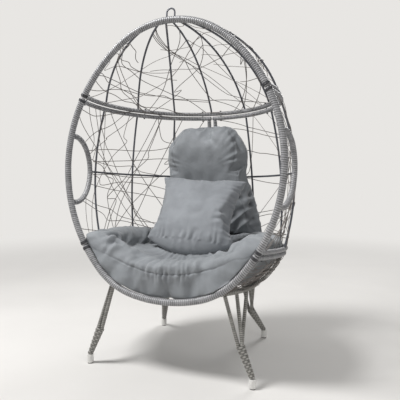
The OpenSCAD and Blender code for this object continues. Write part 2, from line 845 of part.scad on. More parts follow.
// A stretch bends at each rod, and an outer one also over the level rod
bend_clear = 0.004;
level_rod_lift = 1.3;
function line_bends(line, from, to, side) = concat(
    [from],
    [
        for (i = [0:half_bays - 1])
            let (
                cross_k = i + (arm_v - line[i]) / (line[i + 1] - line[i]),
                on_bar = side > 0 && cross_k > i + bend_clear && cross_k < i + 1 - bend_clear
            )
                each concat(
                    i > from + bend_clear && i < to - bend_clear ? [i] : [],
                    on_bar && cross_k > from + bend_clear && cross_k < to - bend_clear ? [cross_k] : []
                )
    ],
    [to]
);
function middle_strands(side) = [
    for (i = [0:middle_lines - 1])
        let (line = middle_line(i, side))
            for (stretch = line_stretches(line))
                let (bends = line_bends(line, stretch[0], stretch[1], side))
                    if (len(bends) > 2)
                        [
                            for (k = bends)
                                let (
                                    v = line_v(line, k),
                                    extra = side > 0 && abs(v - arm_v) < 0.01 ? level_rod_lift : 0
                                )
                                    lifted(level_point(v, k), level_out(v, k), side * rod_lift + extra)
                        ]
];

module left_net() {
    color("#77746f")
        in_basket()
            strands(concat(middle_strands(1), middle_strands(-1)));
}
module right_net() mirror([1, 0, 0]) left_net();

// Line i of the bowl runs from the bowl ring down to the base ring
bowl_pitch = (bays + bowl_span) / bowl_lines;
bowl_first_t = 0.12;
bowl_turn_lift = 0.3;
function bowl_t(i, k, side) =
    (k + bowl_span - (i + 0.5) * bowl_pitch + wobble(i + 90, k + side) * wobble_share * bowl_pitch)
    / bowl_span;
function bowl_end(k, t, side) =
    let (
        low = min(floor(k), bays - 1),
        f = k - low,
        a = mix(bowl_point(low, t), bowl_point(low + 1, t), f),
        b = mix(bowl_point(low, 0.5), bowl_point(low + 1, 0.5), f),
        ring = t == 0
            ? level_point(bowl_ring_v, k)
            : to_basket(base_point(base_angle(k)))
    )
    ring_lifted(ring, level_out(bowl_ring_v, k), unit(b - a), side * bowl_lift);
function bowl_strand(i, side) =
    let (
        lift = side * bowl_lift,
        last = between_rods((i + 0.5) * bowl_pitch),
        first = between_rods((i + 0.5) * bowl_pitch - bowl_span),
        t = [for (k = [0:bays]) bowl_t(i, k, side)],
        from_rim = t[0] > 0.15 && t[0] < 0.85
            ? [rim_lifted(bowl_point(0, t[0]), bowl_point(1, t[0]), lift)]
            : [],
        from_ring = first > 0 ? [bowl_end(first, 0, side)] : [],
        inner = [
            for (k = [1:bays - 1])
                if (k > first && k < last)
                    let (
                        u = min(max(t[k], bowl_first_t), 1 - bowl_first_t),
                        turned = k < first + 1 ? 1 + bowl_turn_lift : 1
                    )
                        arc_lifted(bowl_rod_arc(k), u, lift * turned)
        ],
        to_rim = t[bays] > 0.15 && t[bays] < 0.85
            ? [rim_lifted(bowl_point(bays, t[bays]), bowl_point(bays - 1, t[bays]), lift)]
            : [],
        to_base = last < bays ? [bowl_end(last, 1, side)] : []
    )
    concat(first > 0 ? from_ring : from_rim, inner, last < bays ? to_base : to_rim);

module bowl_net() {
    outer = [for (i = [0:bowl_lines - 1]) bowl_strand(i, 1)];
    inner = [for (i = [0:bowl_lines - 1]) bowl_strand(i, -1)];
    color("#77746f")
        in_basket() {
            strands([for (s = outer) if (len(s) > 2) s]);
            mirror([1, 0, 0]) strands([for (s = inner) if (len(s) > 2) s]);
        }
}

// A right leg is its foot, the step from there to the parting of its tubes, and the
// angles on the base ring where the tubes end
front_angles = [-40, -29, -17];
back_angles = [32, 45, 58];
front_foot = [front_foot_x, front_foot_y, 0];
back_foot = [back_foot_x, back_foot_y, 0];
front_split = [front_foot_x - front_step_x, front_foot_y + front_step_y, split_z];
back_split = [back_foot_x - back_step_x, back_foot_y - back_step_y, split_z];
cap_top = glide_h + cap_h;

// Places of the three tubes where they part, round the leg's own line
tube_spread = leg_r * 2 / sqrt(3) + 1;
function split_points(foot, split) =
    let (
        down = unit(foot + [0, 0, cap_top] - split),
        out = split - [0, base_y, split_z],
        e1 = unit(out - (out * down) * down),
        e2 = cross(down, e1)
    )
    [for (a = [120, 0, -120]) split + tube_spread * (cos(a) * e1 + sin(a) * e2)];

// Draws a cylinder between two points
module straight_tube(a, b, r) {
    d = b - a;
    translate(a)
        rotate([0, acos(d[2] / norm(d)), atan2(d[1], d[0])])
            cylinder(r = r, h = norm(d), $fn = tube_fn);
}

// Space below the slanted top of a sleeve, where the tubes' lower ends are cut
cut_size = 200;
module below_split(foot, split) {
    d = split - foot - [0, 0, cap_top];
    translate(split)
        rotate([0, acos(d[2] / norm(d)), atan2(d[1], d[0])])
            translate([-cut_size / 2, -cut_size / 2, -cut_size])
                cube(cut_size);
}

module leg_tubes(foot, split, angles) {
    lows = split_points(foot, split);
    for (i = [0:2]) {
        high = base_point(angles[i]);
        along = unit(high - lows[i]);
        ring_dir = [-sin(angles[i]), cos(angles[i]), 0];
        top = high - along * end_trim(bar_r, leg_r, along, ring_dir);
        difference() {
            straight_tube(lows[i] - along * 3 * leg_r, top, leg_r);
            below_split(foot, split);
        }
    }
}

module leg_sleeve(foot, split) {
    wrap = 2;
    skin = 0.5;
    d = split - foot - [0, 0, cap_top];
    hull() {
        for (p = split_points(foot, split))
            translate(p)
                rotate([0, acos(d[2] / norm(d)), atan2(d[1], d[0])])
                    translate([0, 0, -skin])
                        cylinder(r = leg_r + wrap, h = skin, $fn = 32);
        translate([foot[0], foot[1], cap_top])
            cylinder(r = cap_r - wrap, h = skin, $fn = 32);
    }
}

// A cap is a short cup with softened edges
module foot_cap(foot) {
    edge = 2;
    translate([foot[0], foot[1], glide_h])
        rotate_extrude($fn = tube_fn)
            polygon([
                [0, 0], [cap_r - edge, 0], [cap_r, edge], [cap_r, cap_h - edge],
                [cap_r - edge / 2, cap_h], [0, cap_h]
            ]);
}

module glides() {
    color("#2c2c2e")
        in_chair()
            for (foot = [front_foot, back_foot], side = [-1, 1])
                translate([side * foot[0], foot[1], 0])
                    cylinder(r = cap_r - 3, h = glide_h, $fn = tube_fn);
}

module front_right_leg() {
    color("#85878d") in_chair() leg_tubes(front_foot, front_split, front_angles);
}
module back_right_leg() {
    color("#85878d") in_chair() leg_tubes(back_foot, back_split, back_angles);
}
module front_right_sleeve() {
    color("#8b8d93") in_chair() leg_sleeve(front_foot, front_split);
}
module back_right_sleeve() {
    color("#8b8d93") in_chair() leg_sleeve(back_foot, back_split);
}
module front_right_cap() {
    color("#e4e4e2") in_chair() foot_cap(front_foot);
}
module back_right_cap() {
    color("#e4e4e2") in_chair() foot_cap(back_foot);
}
module front_left_leg() mirror([1, 0, 0]) front_right_leg();
module back_left_leg() mirror([1, 0, 0]) back_right_leg();
module front_left_sleeve() mirror([1, 0, 0]) front_right_sleeve();
module back_left_sleeve() mirror([1, 0, 0]) back_right_sleeve();
module front_left_cap() mirror([1, 0, 0]) front_right_cap();
module back_left_cap() mirror([1, 0, 0]) back_right_cap();

// Faces of a grid of points with the given number of columns and rows, closed round
// when its columns wrap
function grid_faces(columns, rows, first, flip, wraps) = [
    for (r = [0:rows - 2], c = [0:columns - (wraps ? 1 : 2)])
        let (
            p = first + r * columns + c,
            q = first + r * columns + (c + 1) % columns,
            up = columns
        )
            each flip
            ? [[p, q + up, q], [p, p + up, q + up]]
            : [[p, q, q + up], [p, q + up, p + up]]
];

// The nest cushion: rings of points round a centre line, from its bottom over the wall side,
// the roll and the dish
nest_turns = 36;
nest_centre_n = base_y;
nest_bottom_z = base_z + bar_r + 0.4;
nest_front_n = 2;
nest_crown = 16;
lip_depth = 82;
lip_half_w = 226;
lip_fall = 40;
function flat_v(n) = (nest_bottom_z - rim_z + n * sin(rim_lean)) / cos(rim_lean);
function nest_flat_v() = flat_v(nest_centre_n);
function nest_dish_v() = nest_flat_v() + nest_seat_h;

// Distance from the centre line to the bowl's wall, straight from the base ring to the bowl ring
function bowl_reach(angle, v) =
    let (
        l = level(bowl_ring_v),
        e = nest_centre_n - l[1],
        ring = cos(angle) * e + sqrt(l[0] ^ 2 - (e * sin(angle)) ^ 2),
        low = flat_v(nest_centre_n - base_r * cos(angle)) - bar_r,
        share = (v - low) / (bowl_ring_v - low)
    )
    mix(base_r, ring, min(max(share, 0), 1));
function wall_clear(v) = mix(bowl_clear, nest_clear, smooth((v - bowl_ring_v) / 50));

// Distance from the centre line to the nest's side in a direction counted from the front: at the
// front corners it keeps clear of the rim, and further back of the wall
corner_turn = 62;
corner_blend = 28;
nest_bulge = 12;
bulge_foot = 20;
corner_power = 22;
least_sine = 0.2;
least_cosine = 0.05;
function half_turn(angle) = angle > 180 ? 360 - angle : angle;
function wall_side(angle, v) =
    let (l = level(v), e = nest_centre_n - l[1])
    v < bowl_ring_v
    ? bowl_reach(angle, v) - bowl_clear
    : cos(angle) * e + sqrt((l[0] - wall_clear(v)) ^ 2 - (e * sin(angle)) ^ 2);
function rim_side(angle, v) =
    (rim_w(v) - rim_r - rim_clear) / max(abs(sin(angle)), least_sine);
function nest_reach(angle, v) =
    let (
        share = smooth((half_turn(angle) - corner_turn) / corner_blend),
        wall = wall_side(angle, v),
        round = share == 1 ? wall : mix(rim_side(angle, v), wall, share),
        rise = min(max((v - bulge_foot) / (nest_front_v - bulge_foot), 0), 1),
        bulge = nest_bulge * sin(180 * rise),
        flat = (nest_centre_n - nest_front_n + bulge) / max(cos(angle), least_cosine)
    )
    cos(angle) > least_cosine
    ? (round ^ -corner_power + flat ^ -corner_power) ^ (-1 / corner_power)
    : round;

// The roll rises from the front to the wings and falls a little to the back
wing_start = 34;
wing_rise = 32;
back_start = 100;
back_fall = 60;
function nest_roll_v(angle) =
    let (a = half_turn(angle))
    a < 90
    ? mix(nest_front_v, nest_side_v, smooth((a - wing_start) / wing_rise))
    : mix(nest_side_v, nest_back_v, smooth((a - back_start) / back_fall));
function nest_at(angle, reach, v) =
    [reach * sin(angle), nest_centre_n - reach * cos(angle), v];

// The front of the bottom hangs down to the rim
lip_clear = 8;
function lip_v(x) =
    low_r - sqrt(low_r ^ 2 - min(abs(x), low_r / 2) ^ 2) + rim_r + lip_clear;
function nest_floor(angle, reach) =
    let (
        p = nest_at(angle, reach, 0),
        flat = flat_v(p[1]),
        drop = smooth((lip_depth - p[1]) / lip_fall) * smooth((lip_half_w - abs(p[0])) / lip_fall)
    )
    [p[0], p[1], mix(flat, min(flat, lip_v(p[0])), drop)];

// Rings of the bottom, of the wall side, of the roll and of the dish
floor_share = 0.62;
floor_edge = 30;
floor_round = 10;
floor_round_h = 8;
wall_shares = [0.15, 0.32, 0.5, 0.68, 0.85];
roll_edge = 20;
roll_edge_in = 3;
roll_round_h = 5;
crest_share = 0.42;
slope_share = 0.75;
slope_rise = 0.82;
foot_rise = 0.35;
dish_step = 16;
dish_share = 0.45;
dish_crown = 0.8;
function nest_wall(angle, v) = nest_at(angle, nest_reach(angle, v), v);
function nest_rings_at(angle) =
    let (
        low = nest_flat_v(),
        top = nest_roll_v(angle),
        dish = nest_dish_v(),
        foot = nest_floor(angle, nest_reach(angle, low) - floor_round)[2] + floor_round_h,
        wall_low = nest_reach(angle, foot),
        wall_top = nest_reach(angle, top - roll_edge),
        inner = wall_top - nest_roll_w
    )
    [
        nest_floor(angle, floor_share * wall_low),
        nest_floor(angle, wall_low - floor_edge),
        nest_floor(angle, wall_low - floor_round) + [0, 0, floor_round_h],
        for (share = wall_shares) nest_wall(angle, mix(foot, top - roll_edge, share)),
        nest_at(angle, wall_top - roll_edge_in, top - roll_edge),
        nest_at(angle, wall_top - roll_edge, top - roll_round_h),
        nest_at(angle, wall_top - nest_roll_w * crest_share, top),
        nest_at(angle, wall_top - nest_roll_w * slope_share, mix(dish, top, slope_rise)),
        nest_at(angle, inner, mix(dish, top, foot_rise)),
        nest_at(angle, inner - dish_step, dish),
        nest_at(angle, dish_share * inner, dish + nest_crown * dish_crown)
    ];

module nest_cushion() {
    columns = [for (i = [0:nest_turns - 1]) nest_rings_at(i * 360 / nest_turns)];
    rings = len(columns[0]);
    under = nest_turns * rings;
    over = under + 1;
    last = nest_turns * (rings - 1);
    color("#7f868f")
        in_basket()
            polyhedron(
                points = concat(
                    [for (j = [0:rings - 1], column = columns) column[j]],
                    [[0, nest_centre_n, nest_flat_v()]],
                    [[0, nest_centre_n, nest_dish_v() + nest_crown]]
                ),
                faces = concat(
                    grid_faces(nest_turns, rings, 0, true, true),
                    [for (i = [0:nest_turns - 1]) [under, i, (i + 1) % nest_turns]],
                    [for (i = [0:nest_turns - 1]) [over, last + (i + 1) % nest_turns, last + i]]
                )
            );
}

// The back pad: a crowned pad that follows the back wall
pad_columns = 13;
pad_rows = 15;
pad_edge_t = 16;
pad_tuck = 3;
pad_low_v = nest_back_v - pad_tuck;
pad_round = 0.7;
function pad_full(a, b) = ((1 - a ^ 4) * (1 - b ^ 4)) ^ pad_round;
// The pad's foot follows the nest's roll, its sides draw in and its upper corners are round
pad_edge_in = 0.2;
pad_foot_lift = 2.9;
pad_corner = 0.13;
pad_draw_in = 0.22;
pad_straight = 0.75;
function pad_point(a, b, share) =
    let (
        s = (1 + b) / 2,
        foot_turn = degrees(pad_low_w / 2, level(nest_back_v)[0]),
        low = nest_roll_v(180 - abs(a) * foot_turn) - pad_tuck + pad_foot_lift * a ^ 2,
        v = mix(low, pad_low_v + pad_h * (1 - pad_corner * a ^ 4), s),
        l = level(v),
        t = mix(pad_edge_t, pad_t, pad_full(a, b)),
        r = l[0] - pad_clear - (pad_t - t) * pad_edge_in - share * t,
        draw = pad_draw_in * (max(0, s - pad_straight) / (1 - pad_straight)) ^ 2,
        w = mix(pad_low_w, pad_high_w, smooth(s / pad_straight)) * (1 - draw),
        angle = 90 - a * degrees(w / 2, l[0])
    )
    [r * cos(angle), l[1] + r * sin(angle), v];

// Closed skin of two grids that share their edges' order
function rim_loop(columns, rows) = concat(
    [for (c = [0:columns - 1]) c],
    [for (r = [1:rows - 1]) r * columns + columns - 1],
    [for (c = [columns - 2:-1:0]) (rows - 1) * columns + c],
    [for (r = [rows - 2:-1:1]) r * columns]
);
function skin_faces(columns, rows) =
    let (
        loop = rim_loop(columns, rows),
        other = columns * rows,
        n = len(loop)
    )
    concat(
        grid_faces(columns, rows, 0, true, false),
        grid_faces(columns, rows, other, false, false),
        [
            for (i = [0:n - 1])
                let (p = loop[i], q = loop[(i + 1) % n])
                    each [[p, q + other, p + other], [p, q, q + other]]
        ]
    );
function shares(count) = [for (i = [0:count - 1]) 2 * i / (count - 1) - 1];

module back_pad() {
    color("#838a93")
        in_basket()
            polyhedron(
                points = [
                    for (share = [1, 0], b = shares(pad_rows), a = shares(pad_columns))
                        pad_point(a, b, share)
                ],
                faces = skin_faces(pad_columns, pad_rows)
            );
}

// The throw pillow: pointed corners, drawn-in sides and a full middle that sags to its foot
pillow_steps = 13;
pillow_edge_t = 5;
pillow_pinch = 0.07;
pillow_slump = 0.8;
pillow_sag = 0.28;
pillow_turn = -3;
pillow_centre = [41, 262, 659.5];
function pillow_point(a, b, side) =
    let (
        half = pillow_side / 2,
        full = ((1 - a ^ 2) * (1 - b ^ 2)) ^ 0.5,
        t = mix(pillow_edge_t, pillow_t, full) / 2
    )
    [
        half * a * (1 - pillow_pinch * (1 - b ^ 2) * a ^ 2),
        half * (pillow_slump * b - pillow_sag * (1 - a ^ 2) * ((1 - b) / 2) ^ 2),
        side * t
    ];

module throw_pillow() {
    color("#8c939c")
        in_chair()
            translate(pillow_centre)
                rotate([90 - pillow_lean, 0, 0])
                    rotate([0, 0, pillow_turn])
                        polyhedron(
                            points = [
                                for (side = [1, -1], b = shares(pillow_steps), a = shares(pillow_steps))
                                    pillow_point(a, b, side)
                            ],
                            faces = skin_faces(pillow_steps, pillow_steps)
                        );
}

dome_rim();
dome_ring();
dome_ribs();
dome_net();
hanging_loop();
left_rim();
right_rim();
left_top_bar();
right_top_bar();
left_bottom_bar();
right_bottom_bar();
left_post();
right_post();
left_arm_loop();
right_arm_loop();
left_rods();
right_rods();
left_crossbar();
right_crossbar();
left_net();
right_net();
bowl_rim();
bowl_ring();
bowl_rods();
bowl_net();
base_ring();
base_bars();
seam_bolts();
seam_nuts();
front_left_leg();
front_right_leg();
back_left_leg();
back_right_leg();
front_left_sleeve();
front_right_sleeve();
back_left_sleeve();
back_right_sleeve();
front_left_cap();
front_right_cap();
back_left_cap();
back_right_cap();
glides();
nest_cushion();
back_pad();
throw_pillow();
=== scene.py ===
import math
import random

import bmesh
import bpy
import numpy as np
from mathutils import Matrix, Vector, noise


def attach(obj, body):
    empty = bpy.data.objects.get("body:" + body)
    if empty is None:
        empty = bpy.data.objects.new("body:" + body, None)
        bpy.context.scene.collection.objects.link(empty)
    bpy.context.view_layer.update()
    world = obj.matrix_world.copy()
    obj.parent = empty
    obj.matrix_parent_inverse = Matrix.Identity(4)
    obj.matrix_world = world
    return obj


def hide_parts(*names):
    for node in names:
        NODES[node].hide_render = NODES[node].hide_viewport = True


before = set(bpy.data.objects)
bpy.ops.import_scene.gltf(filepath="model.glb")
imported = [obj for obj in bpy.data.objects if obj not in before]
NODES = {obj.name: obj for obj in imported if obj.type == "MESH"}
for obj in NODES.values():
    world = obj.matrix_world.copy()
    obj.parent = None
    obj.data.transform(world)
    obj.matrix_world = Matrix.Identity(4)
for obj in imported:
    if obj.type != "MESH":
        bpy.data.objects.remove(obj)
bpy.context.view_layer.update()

MM = 0.001

# Named sizes of the chair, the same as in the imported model's source, in millimetres
EGG_H, EGG_HALF_W, WIDEST_V = 1145.0, 476.0, 555.0
TOP_R, LOW_R, LOW_SWEEP, CORNER_R = 375.0, 600.0, 13.5, 328.0
RIM_Z, RIM_LEAN = 310.0, 4.0
BASE_Z, BASE_DEPTH, LOW_DEPTH, MID_DEPTH, HIGH_DEPTH = 358.0, 560.0, 660.0, 605.0, 538.0
LOW_SEAM_V, HIGH_SEAM_V, SEAM_GAP = 210.0, 848.0, 2.0
RIM_R, BAR_R, ARM_R, ROD_R, BOWL_ROD_R = 14.0, 10.0, 12.0, 4.5, 7.0
RIB_PITCH, RIB_BOW, BOWL_ROD_BOW = 22.0, 72.0, 14.0
ARM_V, ARM_HALF_H, ARM_SWEEP, POST_X = 541.0, 142.0, 21.5, 16.0
FRONT_FOOT, BACK_FOOT, SPLIT_Z = (365.0, 22.0), (277.0, 602.0), 160.0
FRONT_STEP, BACK_STEP, LEG_R = (50.0, 8.0), (47.0, -86.0), 8.0
CAP_TOP, CAP_R = 39.0, 14.0
FRONT_ANGLES, BACK_ANGLES = (-40.0, -29.0, -17.0), (32.0, 45.0, 58.0)
BASE_BAR_STEP = 120.0
BAYS = 8

SEAM_STEP = BAR_R + SEAM_GAP / 2
DOME_RING_V, TOP_BAR_V = HIGH_SEAM_V + SEAM_STEP, HIGH_SEAM_V - SEAM_STEP
BOTTOM_BAR_V, BOWL_RING_V = LOW_SEAM_V + SEAM_STEP, LOW_SEAM_V - SEAM_STEP


def sin(a):
    return math.sin(math.radians(a))


def cos(a):
    return math.cos(math.radians(a))


def asin(x):
    return math.degrees(math.asin(x))


def unit(v):
    """A vector, or each row of an array, at length 1."""
    return v / np.linalg.norm(v, axis=-1, keepdims=True)


def vec(*values):
    return np.array(values, float)


def mix(a, b, t):
    return a * (1 - t) + b * t


def ease(x, zero, one):
    """A soft step from 0 where x is at its first limit to 1 at the second."""
    t = np.clip((x - zero) / (one - zero), 0, 1)
    return t * t * (3 - 2 * t)


# The rim's centre line, as arcs of its right half: centre, radius, first and last angle
UPPER_RISE = EGG_H - TOP_R - WIDEST_V
UPPER_R = (EGG_HALF_W ** 2 + UPPER_RISE ** 2 - TOP_R ** 2) / (2 * (EGG_HALF_W - TOP_R))
UPPER_X = EGG_HALF_W - UPPER_R
TOP_START = math.degrees(math.atan2(UPPER_RISE, -UPPER_X))
CORNER_X = (LOW_R - CORNER_R) * sin(LOW_SWEEP)
CORNER_V = LOW_R - (LOW_R - CORNER_R) * cos(LOW_SWEEP)
CORNER_IN = CORNER_X - EGG_HALF_W
LOWER_R = (CORNER_R ** 2 - CORNER_IN ** 2 - (CORNER_V - WIDEST_V) ** 2) / (2 * (CORNER_IN + CORNER_R))
LOWER_X = EGG_HALF_W - LOWER_R
CORNER_END = math.degrees(math.atan2(CORNER_V - WIDEST_V, CORNER_X - LOWER_X))
RIM_ARCS = [
    (0.0, LOW_R, LOW_R, -90.0, LOW_SWEEP - 90),
    (CORNER_X, CORNER_V, CORNER_R, LOW_SWEEP - 90, CORNER_END),
    (LOWER_X, WIDEST_V, LOWER_R, CORNER_END, 0.0),
    (UPPER_X, WIDEST_V, UPPER_R, 0.0, TOP_START),
    (0.0, EGG_H - TOP_R, TOP_R, TOP_START, 90.0),
]


def rim_w(v):
    """Half the width of the opening at a height along the rim."""
    for cx, cv, r, a0, a1 in RIM_ARCS:
        if cv + r * sin(a0) - 0.01 <= v <= cv + r * sin(a1) + 0.01:
            return cx + math.sqrt(max(r * r - (v - cv) ** 2, 0.0))
    return 0.0


def rim_path(v0, v1, side, step=3.0):
    """Points of one side of the rim from height v0 up to height v1."""
    points = []
    for cx, cv, r, a0, a1 in RIM_ARCS:
        low, high = cv + r * sin(a0), cv + r * sin(a1)
        if high <= v0 or low >= v1:
            continue
        start = a0 if low >= v0 else asin((v0 - cv) / r)
        end = a1 if high <= v1 else asin((v1 - cv) / r)
        n = max(int(math.radians(end - start) * r / step), 2)
        for i in range(n):
            a = start + (end - start) * i / (n - 1)
            points.append(vec(side * (cx + r * cos(a)), 0, cv + r * sin(a)))
    return points


BASE_V = (BASE_Z - RIM_Z) / cos(RIM_LEAN)


def depth_at(v):
    """Depth of the basket behind the rim's plane at a height."""
    if v >= LOW_SEAM_V:
        t = (v - LOW_SEAM_V) / (HIGH_SEAM_V - LOW_SEAM_V)
        return (
            LOW_DEPTH * (1 - t) * (1 - 2 * t)
            + MID_DEPTH * 4 * t * (1 - t)
            + HIGH_DEPTH * t * (2 * t - 1)
        )
    return mix(LOW_DEPTH, BASE_DEPTH, ((LOW_SEAM_V - v) / (LOW_SEAM_V - BASE_V)) ** 2)


def level(v):
    """Radius and centre depth of the basket's level circle."""
    w, d = rim_w(v), depth_at(v)
    r = (w * w + d * d) / (2 * d)
    return r, d - r


def level_turn(v):
    """How far the level circle goes past a half turn on each side."""
    r, centre = level(v)
    return asin(centre / r)


def bay_angle(turn, k):
    """Where a bay's edge lies on a circle that goes past a half turn on each side."""
    return 180 + turn - k / BAYS * (180 + 2 * turn)


def level_point(v, k):
    r, centre = level(v)
    a = bay_angle(level_turn(v), k)
    return vec(r * cos(a), centre + r * sin(a), v)


CHAIR_BACK = depth_at(BOTTOM_BAR_V) * cos(RIM_LEAN) + BOTTOM_BAR_V * sin(RIM_LEAN) + BAR_R
CENTRE_Y = (CHAIR_BACK - RIM_R) / 2

BASE_RIM_Y = BASE_V * sin(RIM_LEAN)
BASE_REACH = BASE_DEPTH - BASE_RIM_Y
BASE_R = (rim_w(BASE_V) ** 2 + BASE_REACH ** 2) / (2 * BASE_REACH)
BASE_Y = BASE_DEPTH - BASE_R
BASE_TURN = asin((BASE_Y - BASE_RIM_Y) / BASE_R)


def in_basket(p):
    """A point of the leaning basket in the row frame, in metres."""
    y = p[1] * cos(RIM_LEAN) + p[2] * sin(RIM_LEAN) - CENTRE_Y
    z = p[2] * cos(RIM_LEAN) - p[1] * sin(RIM_LEAN) + RIM_Z
    return vec(p[0], y, z) * MM


def in_chair(p):
    """A point of the upright base and legs in the row frame, in metres."""
    return vec(p[0], p[1] - CENTRE_Y, p[2]) * MM


def to_basket(p):
    """A point of the upright base in the leaning basket."""
    x, y, z = p[0], p[1], p[2] - RIM_Z
    return vec(x, y * cos(RIM_LEAN) - z * sin(RIM_LEAN), y * sin(RIM_LEAN) + z * cos(RIM_LEAN))


def base_point(angle):
    return vec(BASE_R * cos(angle), BASE_Y + BASE_R * sin(angle), BASE_Z)


def arc_through(a, b, c, count=40):
    """Points of the arc from a through b to c."""
    ab, ac = b - a, c - a
    n = np.cross(ab, ac)
    o = a + (np.cross(n, ab) * (ac @ ac) + np.cross(ac, n) * (ab @ ab)) / (2 * (n @ n))
    e1, e3 = unit(a - o), unit(n)
    e2 = np.cross(e3, e1)
    r = np.linalg.norm(a - o)
    sweep = math.atan2((c - o) @ e2, (c - o) @ e1) % (2 * math.pi)
    return [o + r * (math.cos(t) * e1 + math.sin(t) * e2) for t in np.linspace(0, sweep, count)]


def top_v(x):
    """Height of the rim's top arc beside the middle."""
    return EGG_H - TOP_R + math.sqrt(TOP_R ** 2 - x * x)


def bowed(a, c, inner, bow, count=40):
    """The arc from a to c that bows away from the inner point."""
    middle = (a + c) / 2
    along = unit(c - a)
    out = middle - inner
    rise = unit(out - (out @ along) * along)
    return arc_through(a, middle + bow * rise, c, count)


def rib_path(k):
    x = (k - BAYS / 2) * RIB_PITCH
    inner = vec(0, level(DOME_RING_V)[1], WIDEST_V)
    return bowed(vec(x, 0, top_v(x)), level_point(DOME_RING_V, k), inner, RIB_BOW, 60)


def bowl_rod_path(k):
    inner = vec(0, level(BOWL_RING_V)[1], WIDEST_V)
    end = to_basket(base_point(bay_angle(BASE_TURN, k)))
    return bowed(level_point(BOWL_RING_V, k), end, inner, BOWL_ROD_BOW, 40)


def post_path(x):
    points = []
    for v in (BOTTOM_BAR_V, ARM_V, TOP_BAR_V):
        r, centre = level(v)
        points.append(vec(x, centre + math.sqrt(r * r - x * x), v))
    return arc_through(*points, 60)


ARM_K = BAYS * ARM_SWEEP / (180 + 2 * level_turn(ARM_V))


def arm_path(side):
    low, high = ARM_V - ARM_HALF_H, ARM_V + ARM_HALF_H
    ends = [vec(-rim_w(low), 0, low), level_point(ARM_V, ARM_K), vec(-rim_w(high), 0, high)]
    return [p * vec(-side, 1, 1) for p in arc_through(*ends, 60)]


def level_path(v, a0, a1):
    r, centre = level(v)
    n = max(int(math.radians(abs(a1 - a0)) * r / 6), 3)
    return [vec(r * cos(a), centre + r * sin(a), v) for a in np.linspace(a0, a1, n)]


# Paths and sweeps


def resample(points, step):
    """Evenly spaced points of a path, and how far along it each lies."""
    points = np.array(points)
    lengths = np.linalg.norm(np.diff(points, axis=0), axis=1)
    points = points[np.concatenate([[True], lengths > 1e-6])]
    s = np.concatenate([[0], np.cumsum(lengths[lengths > 1e-6])])
    n = max(int(round(s[-1] / step)), 2)
    marks = np.linspace(0, s[-1], n + 1)
    return np.stack([np.interp(marks, s, points[:, i]) for i in range(3)], axis=1), marks


def trimmed(points, start, end):
    """The path without a length at its start and one at its end."""
    points, marks = resample(points, 1.0)
    inside = (marks >= start) & (marks <= marks[-1] - end)
    return points[inside]


def frames(points):
    """Side and up of every point, turned as little as possible along the path."""
    tangents = unit(np.gradient(points, axis=0))
    side = np.cross(tangents[0], vec(0.0, 0.0, 1.0))
    if np.linalg.norm(side) < 0.2:
        side = np.cross(tangents[0], vec(0.0, 1.0, 0.0))
    sides = [unit(side)]
    for tangent in tangents[1:]:
        sides.append(unit(sides[-1] - (sides[-1] @ tangent) * tangent))
    sides = np.array(sides)
    return sides, np.cross(tangents, sides)


class Builder:
    """Collects rings of points into one mesh, with a value for colour at each point: its own tone, and
    painted shade in its grooves.
    """

    def __init__(self):
        self.points = []
        self.faces = []
        self.tones_and_shade = []
        self.count = 0

    def rings(self, rings, tones_and_shade):
        """Adds rings, an array of ring, point of ring, and coordinate, closed at both ends."""
        n, m = rings.shape[:2]
        first = self.count
        self.points.append(rings.reshape(-1, 3))
        self.tones_and_shade.append(tones_and_shade.reshape(-1))
        i, j = np.meshgrid(np.arange(n - 1), np.arange(m), indexing="ij")
        a = first + i * m + j
        b = first + i * m + (j + 1) % m
        self.faces.extend(np.stack([a, b, b + m, a + m], axis=-1).reshape(-1, 4).tolist())
        self.count += n * m
        self.faces.append([first + j for j in range(m - 1, -1, -1)])
        self.faces.append([first + (n - 1) * m + j for j in range(m)])

    def build(self, name, material, place, replaces=()):
        """Makes the mesh a piece of the frame, with its points placed in the row frame."""
        placed = [place(p).tolist() for p in np.concatenate(self.points)]
        mesh = bpy.data.meshes.new(name)
        mesh.from_pydata(placed, [], self.faces)
        mesh.update()
        dress(new_object(name, mesh), np.concatenate(self.tones_and_shade), "frame", material, replaces)


def new_object(name, data):
    thing = bpy.data.objects.new(name, data)
    bpy.context.scene.collection.objects.link(thing)
    return thing


def dress(piece, tones_and_shade, body, material, replaces):
    """Gives a piece its tone and painted shade at each point, its material, and its place in the model.
    """
    mesh = piece.data
    attribute = mesh.attributes.get("tone") or mesh.attributes.new("tone", "FLOAT", "POINT")
    attribute.data.foreach_set("value", tones_and_shade.astype(np.float32))
    for polygon in mesh.polygons:
        polygon.use_smooth = True
    mesh.materials.clear()
    mesh.materials.append(material)
    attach(piece, body)
    if replaces:
        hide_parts(*replaces)


def rings_round(points, sides, ups, across, up):
    """Rings of points round a path, from their steps along its side and up directions."""
    return points[:, None, :] + across[..., None] * sides[:, None, :] + up[..., None] * ups[:, None, :]


WRAP_SIDES = 16


def wrap(builder, path, r, pitch=8.6, ridge=1.6, start=0.0, end=0.0, seed=0):
    """Sweeps a tube with flat wicker wound round it, turn beside turn."""
    path = trimmed(path, start, end)
    points, marks = resample(path, pitch / 5)
    sides, ups = frames(points)
    a = np.arange(WRAP_SIDES) * 2 * math.pi / WRAP_SIDES
    phase = marks[:, None] / pitch + a[None, :] / (2 * math.pi)
    turn = np.floor(phase)
    f = phase - turn
    crown = 1 - np.abs(2 * f - 1) ** 2.4
    # each turn of the strip lies a little higher or lower, and has its own tone
    rng = np.random.default_rng(seed + 7)
    own = rng.random(int(turn.max()) + 2)
    lift = (own[turn.astype(int)] - 0.5) * 0.5
    radius = r - ridge + ridge * crown + lift
    for i, share in enumerate((0.72, 0.9)):
        radius[i] *= share
        radius[-1 - i] *= share
    # painted shade darkens the gaps between the turns; each turn's own tone varies at random
    tones_and_shade = crown ** 1.5 * (0.62 + 0.38 * own[turn.astype(int)])
    builder.rings(rings_round(points, sides, ups, radius * np.cos(a), radius * np.sin(a)), tones_and_shade)


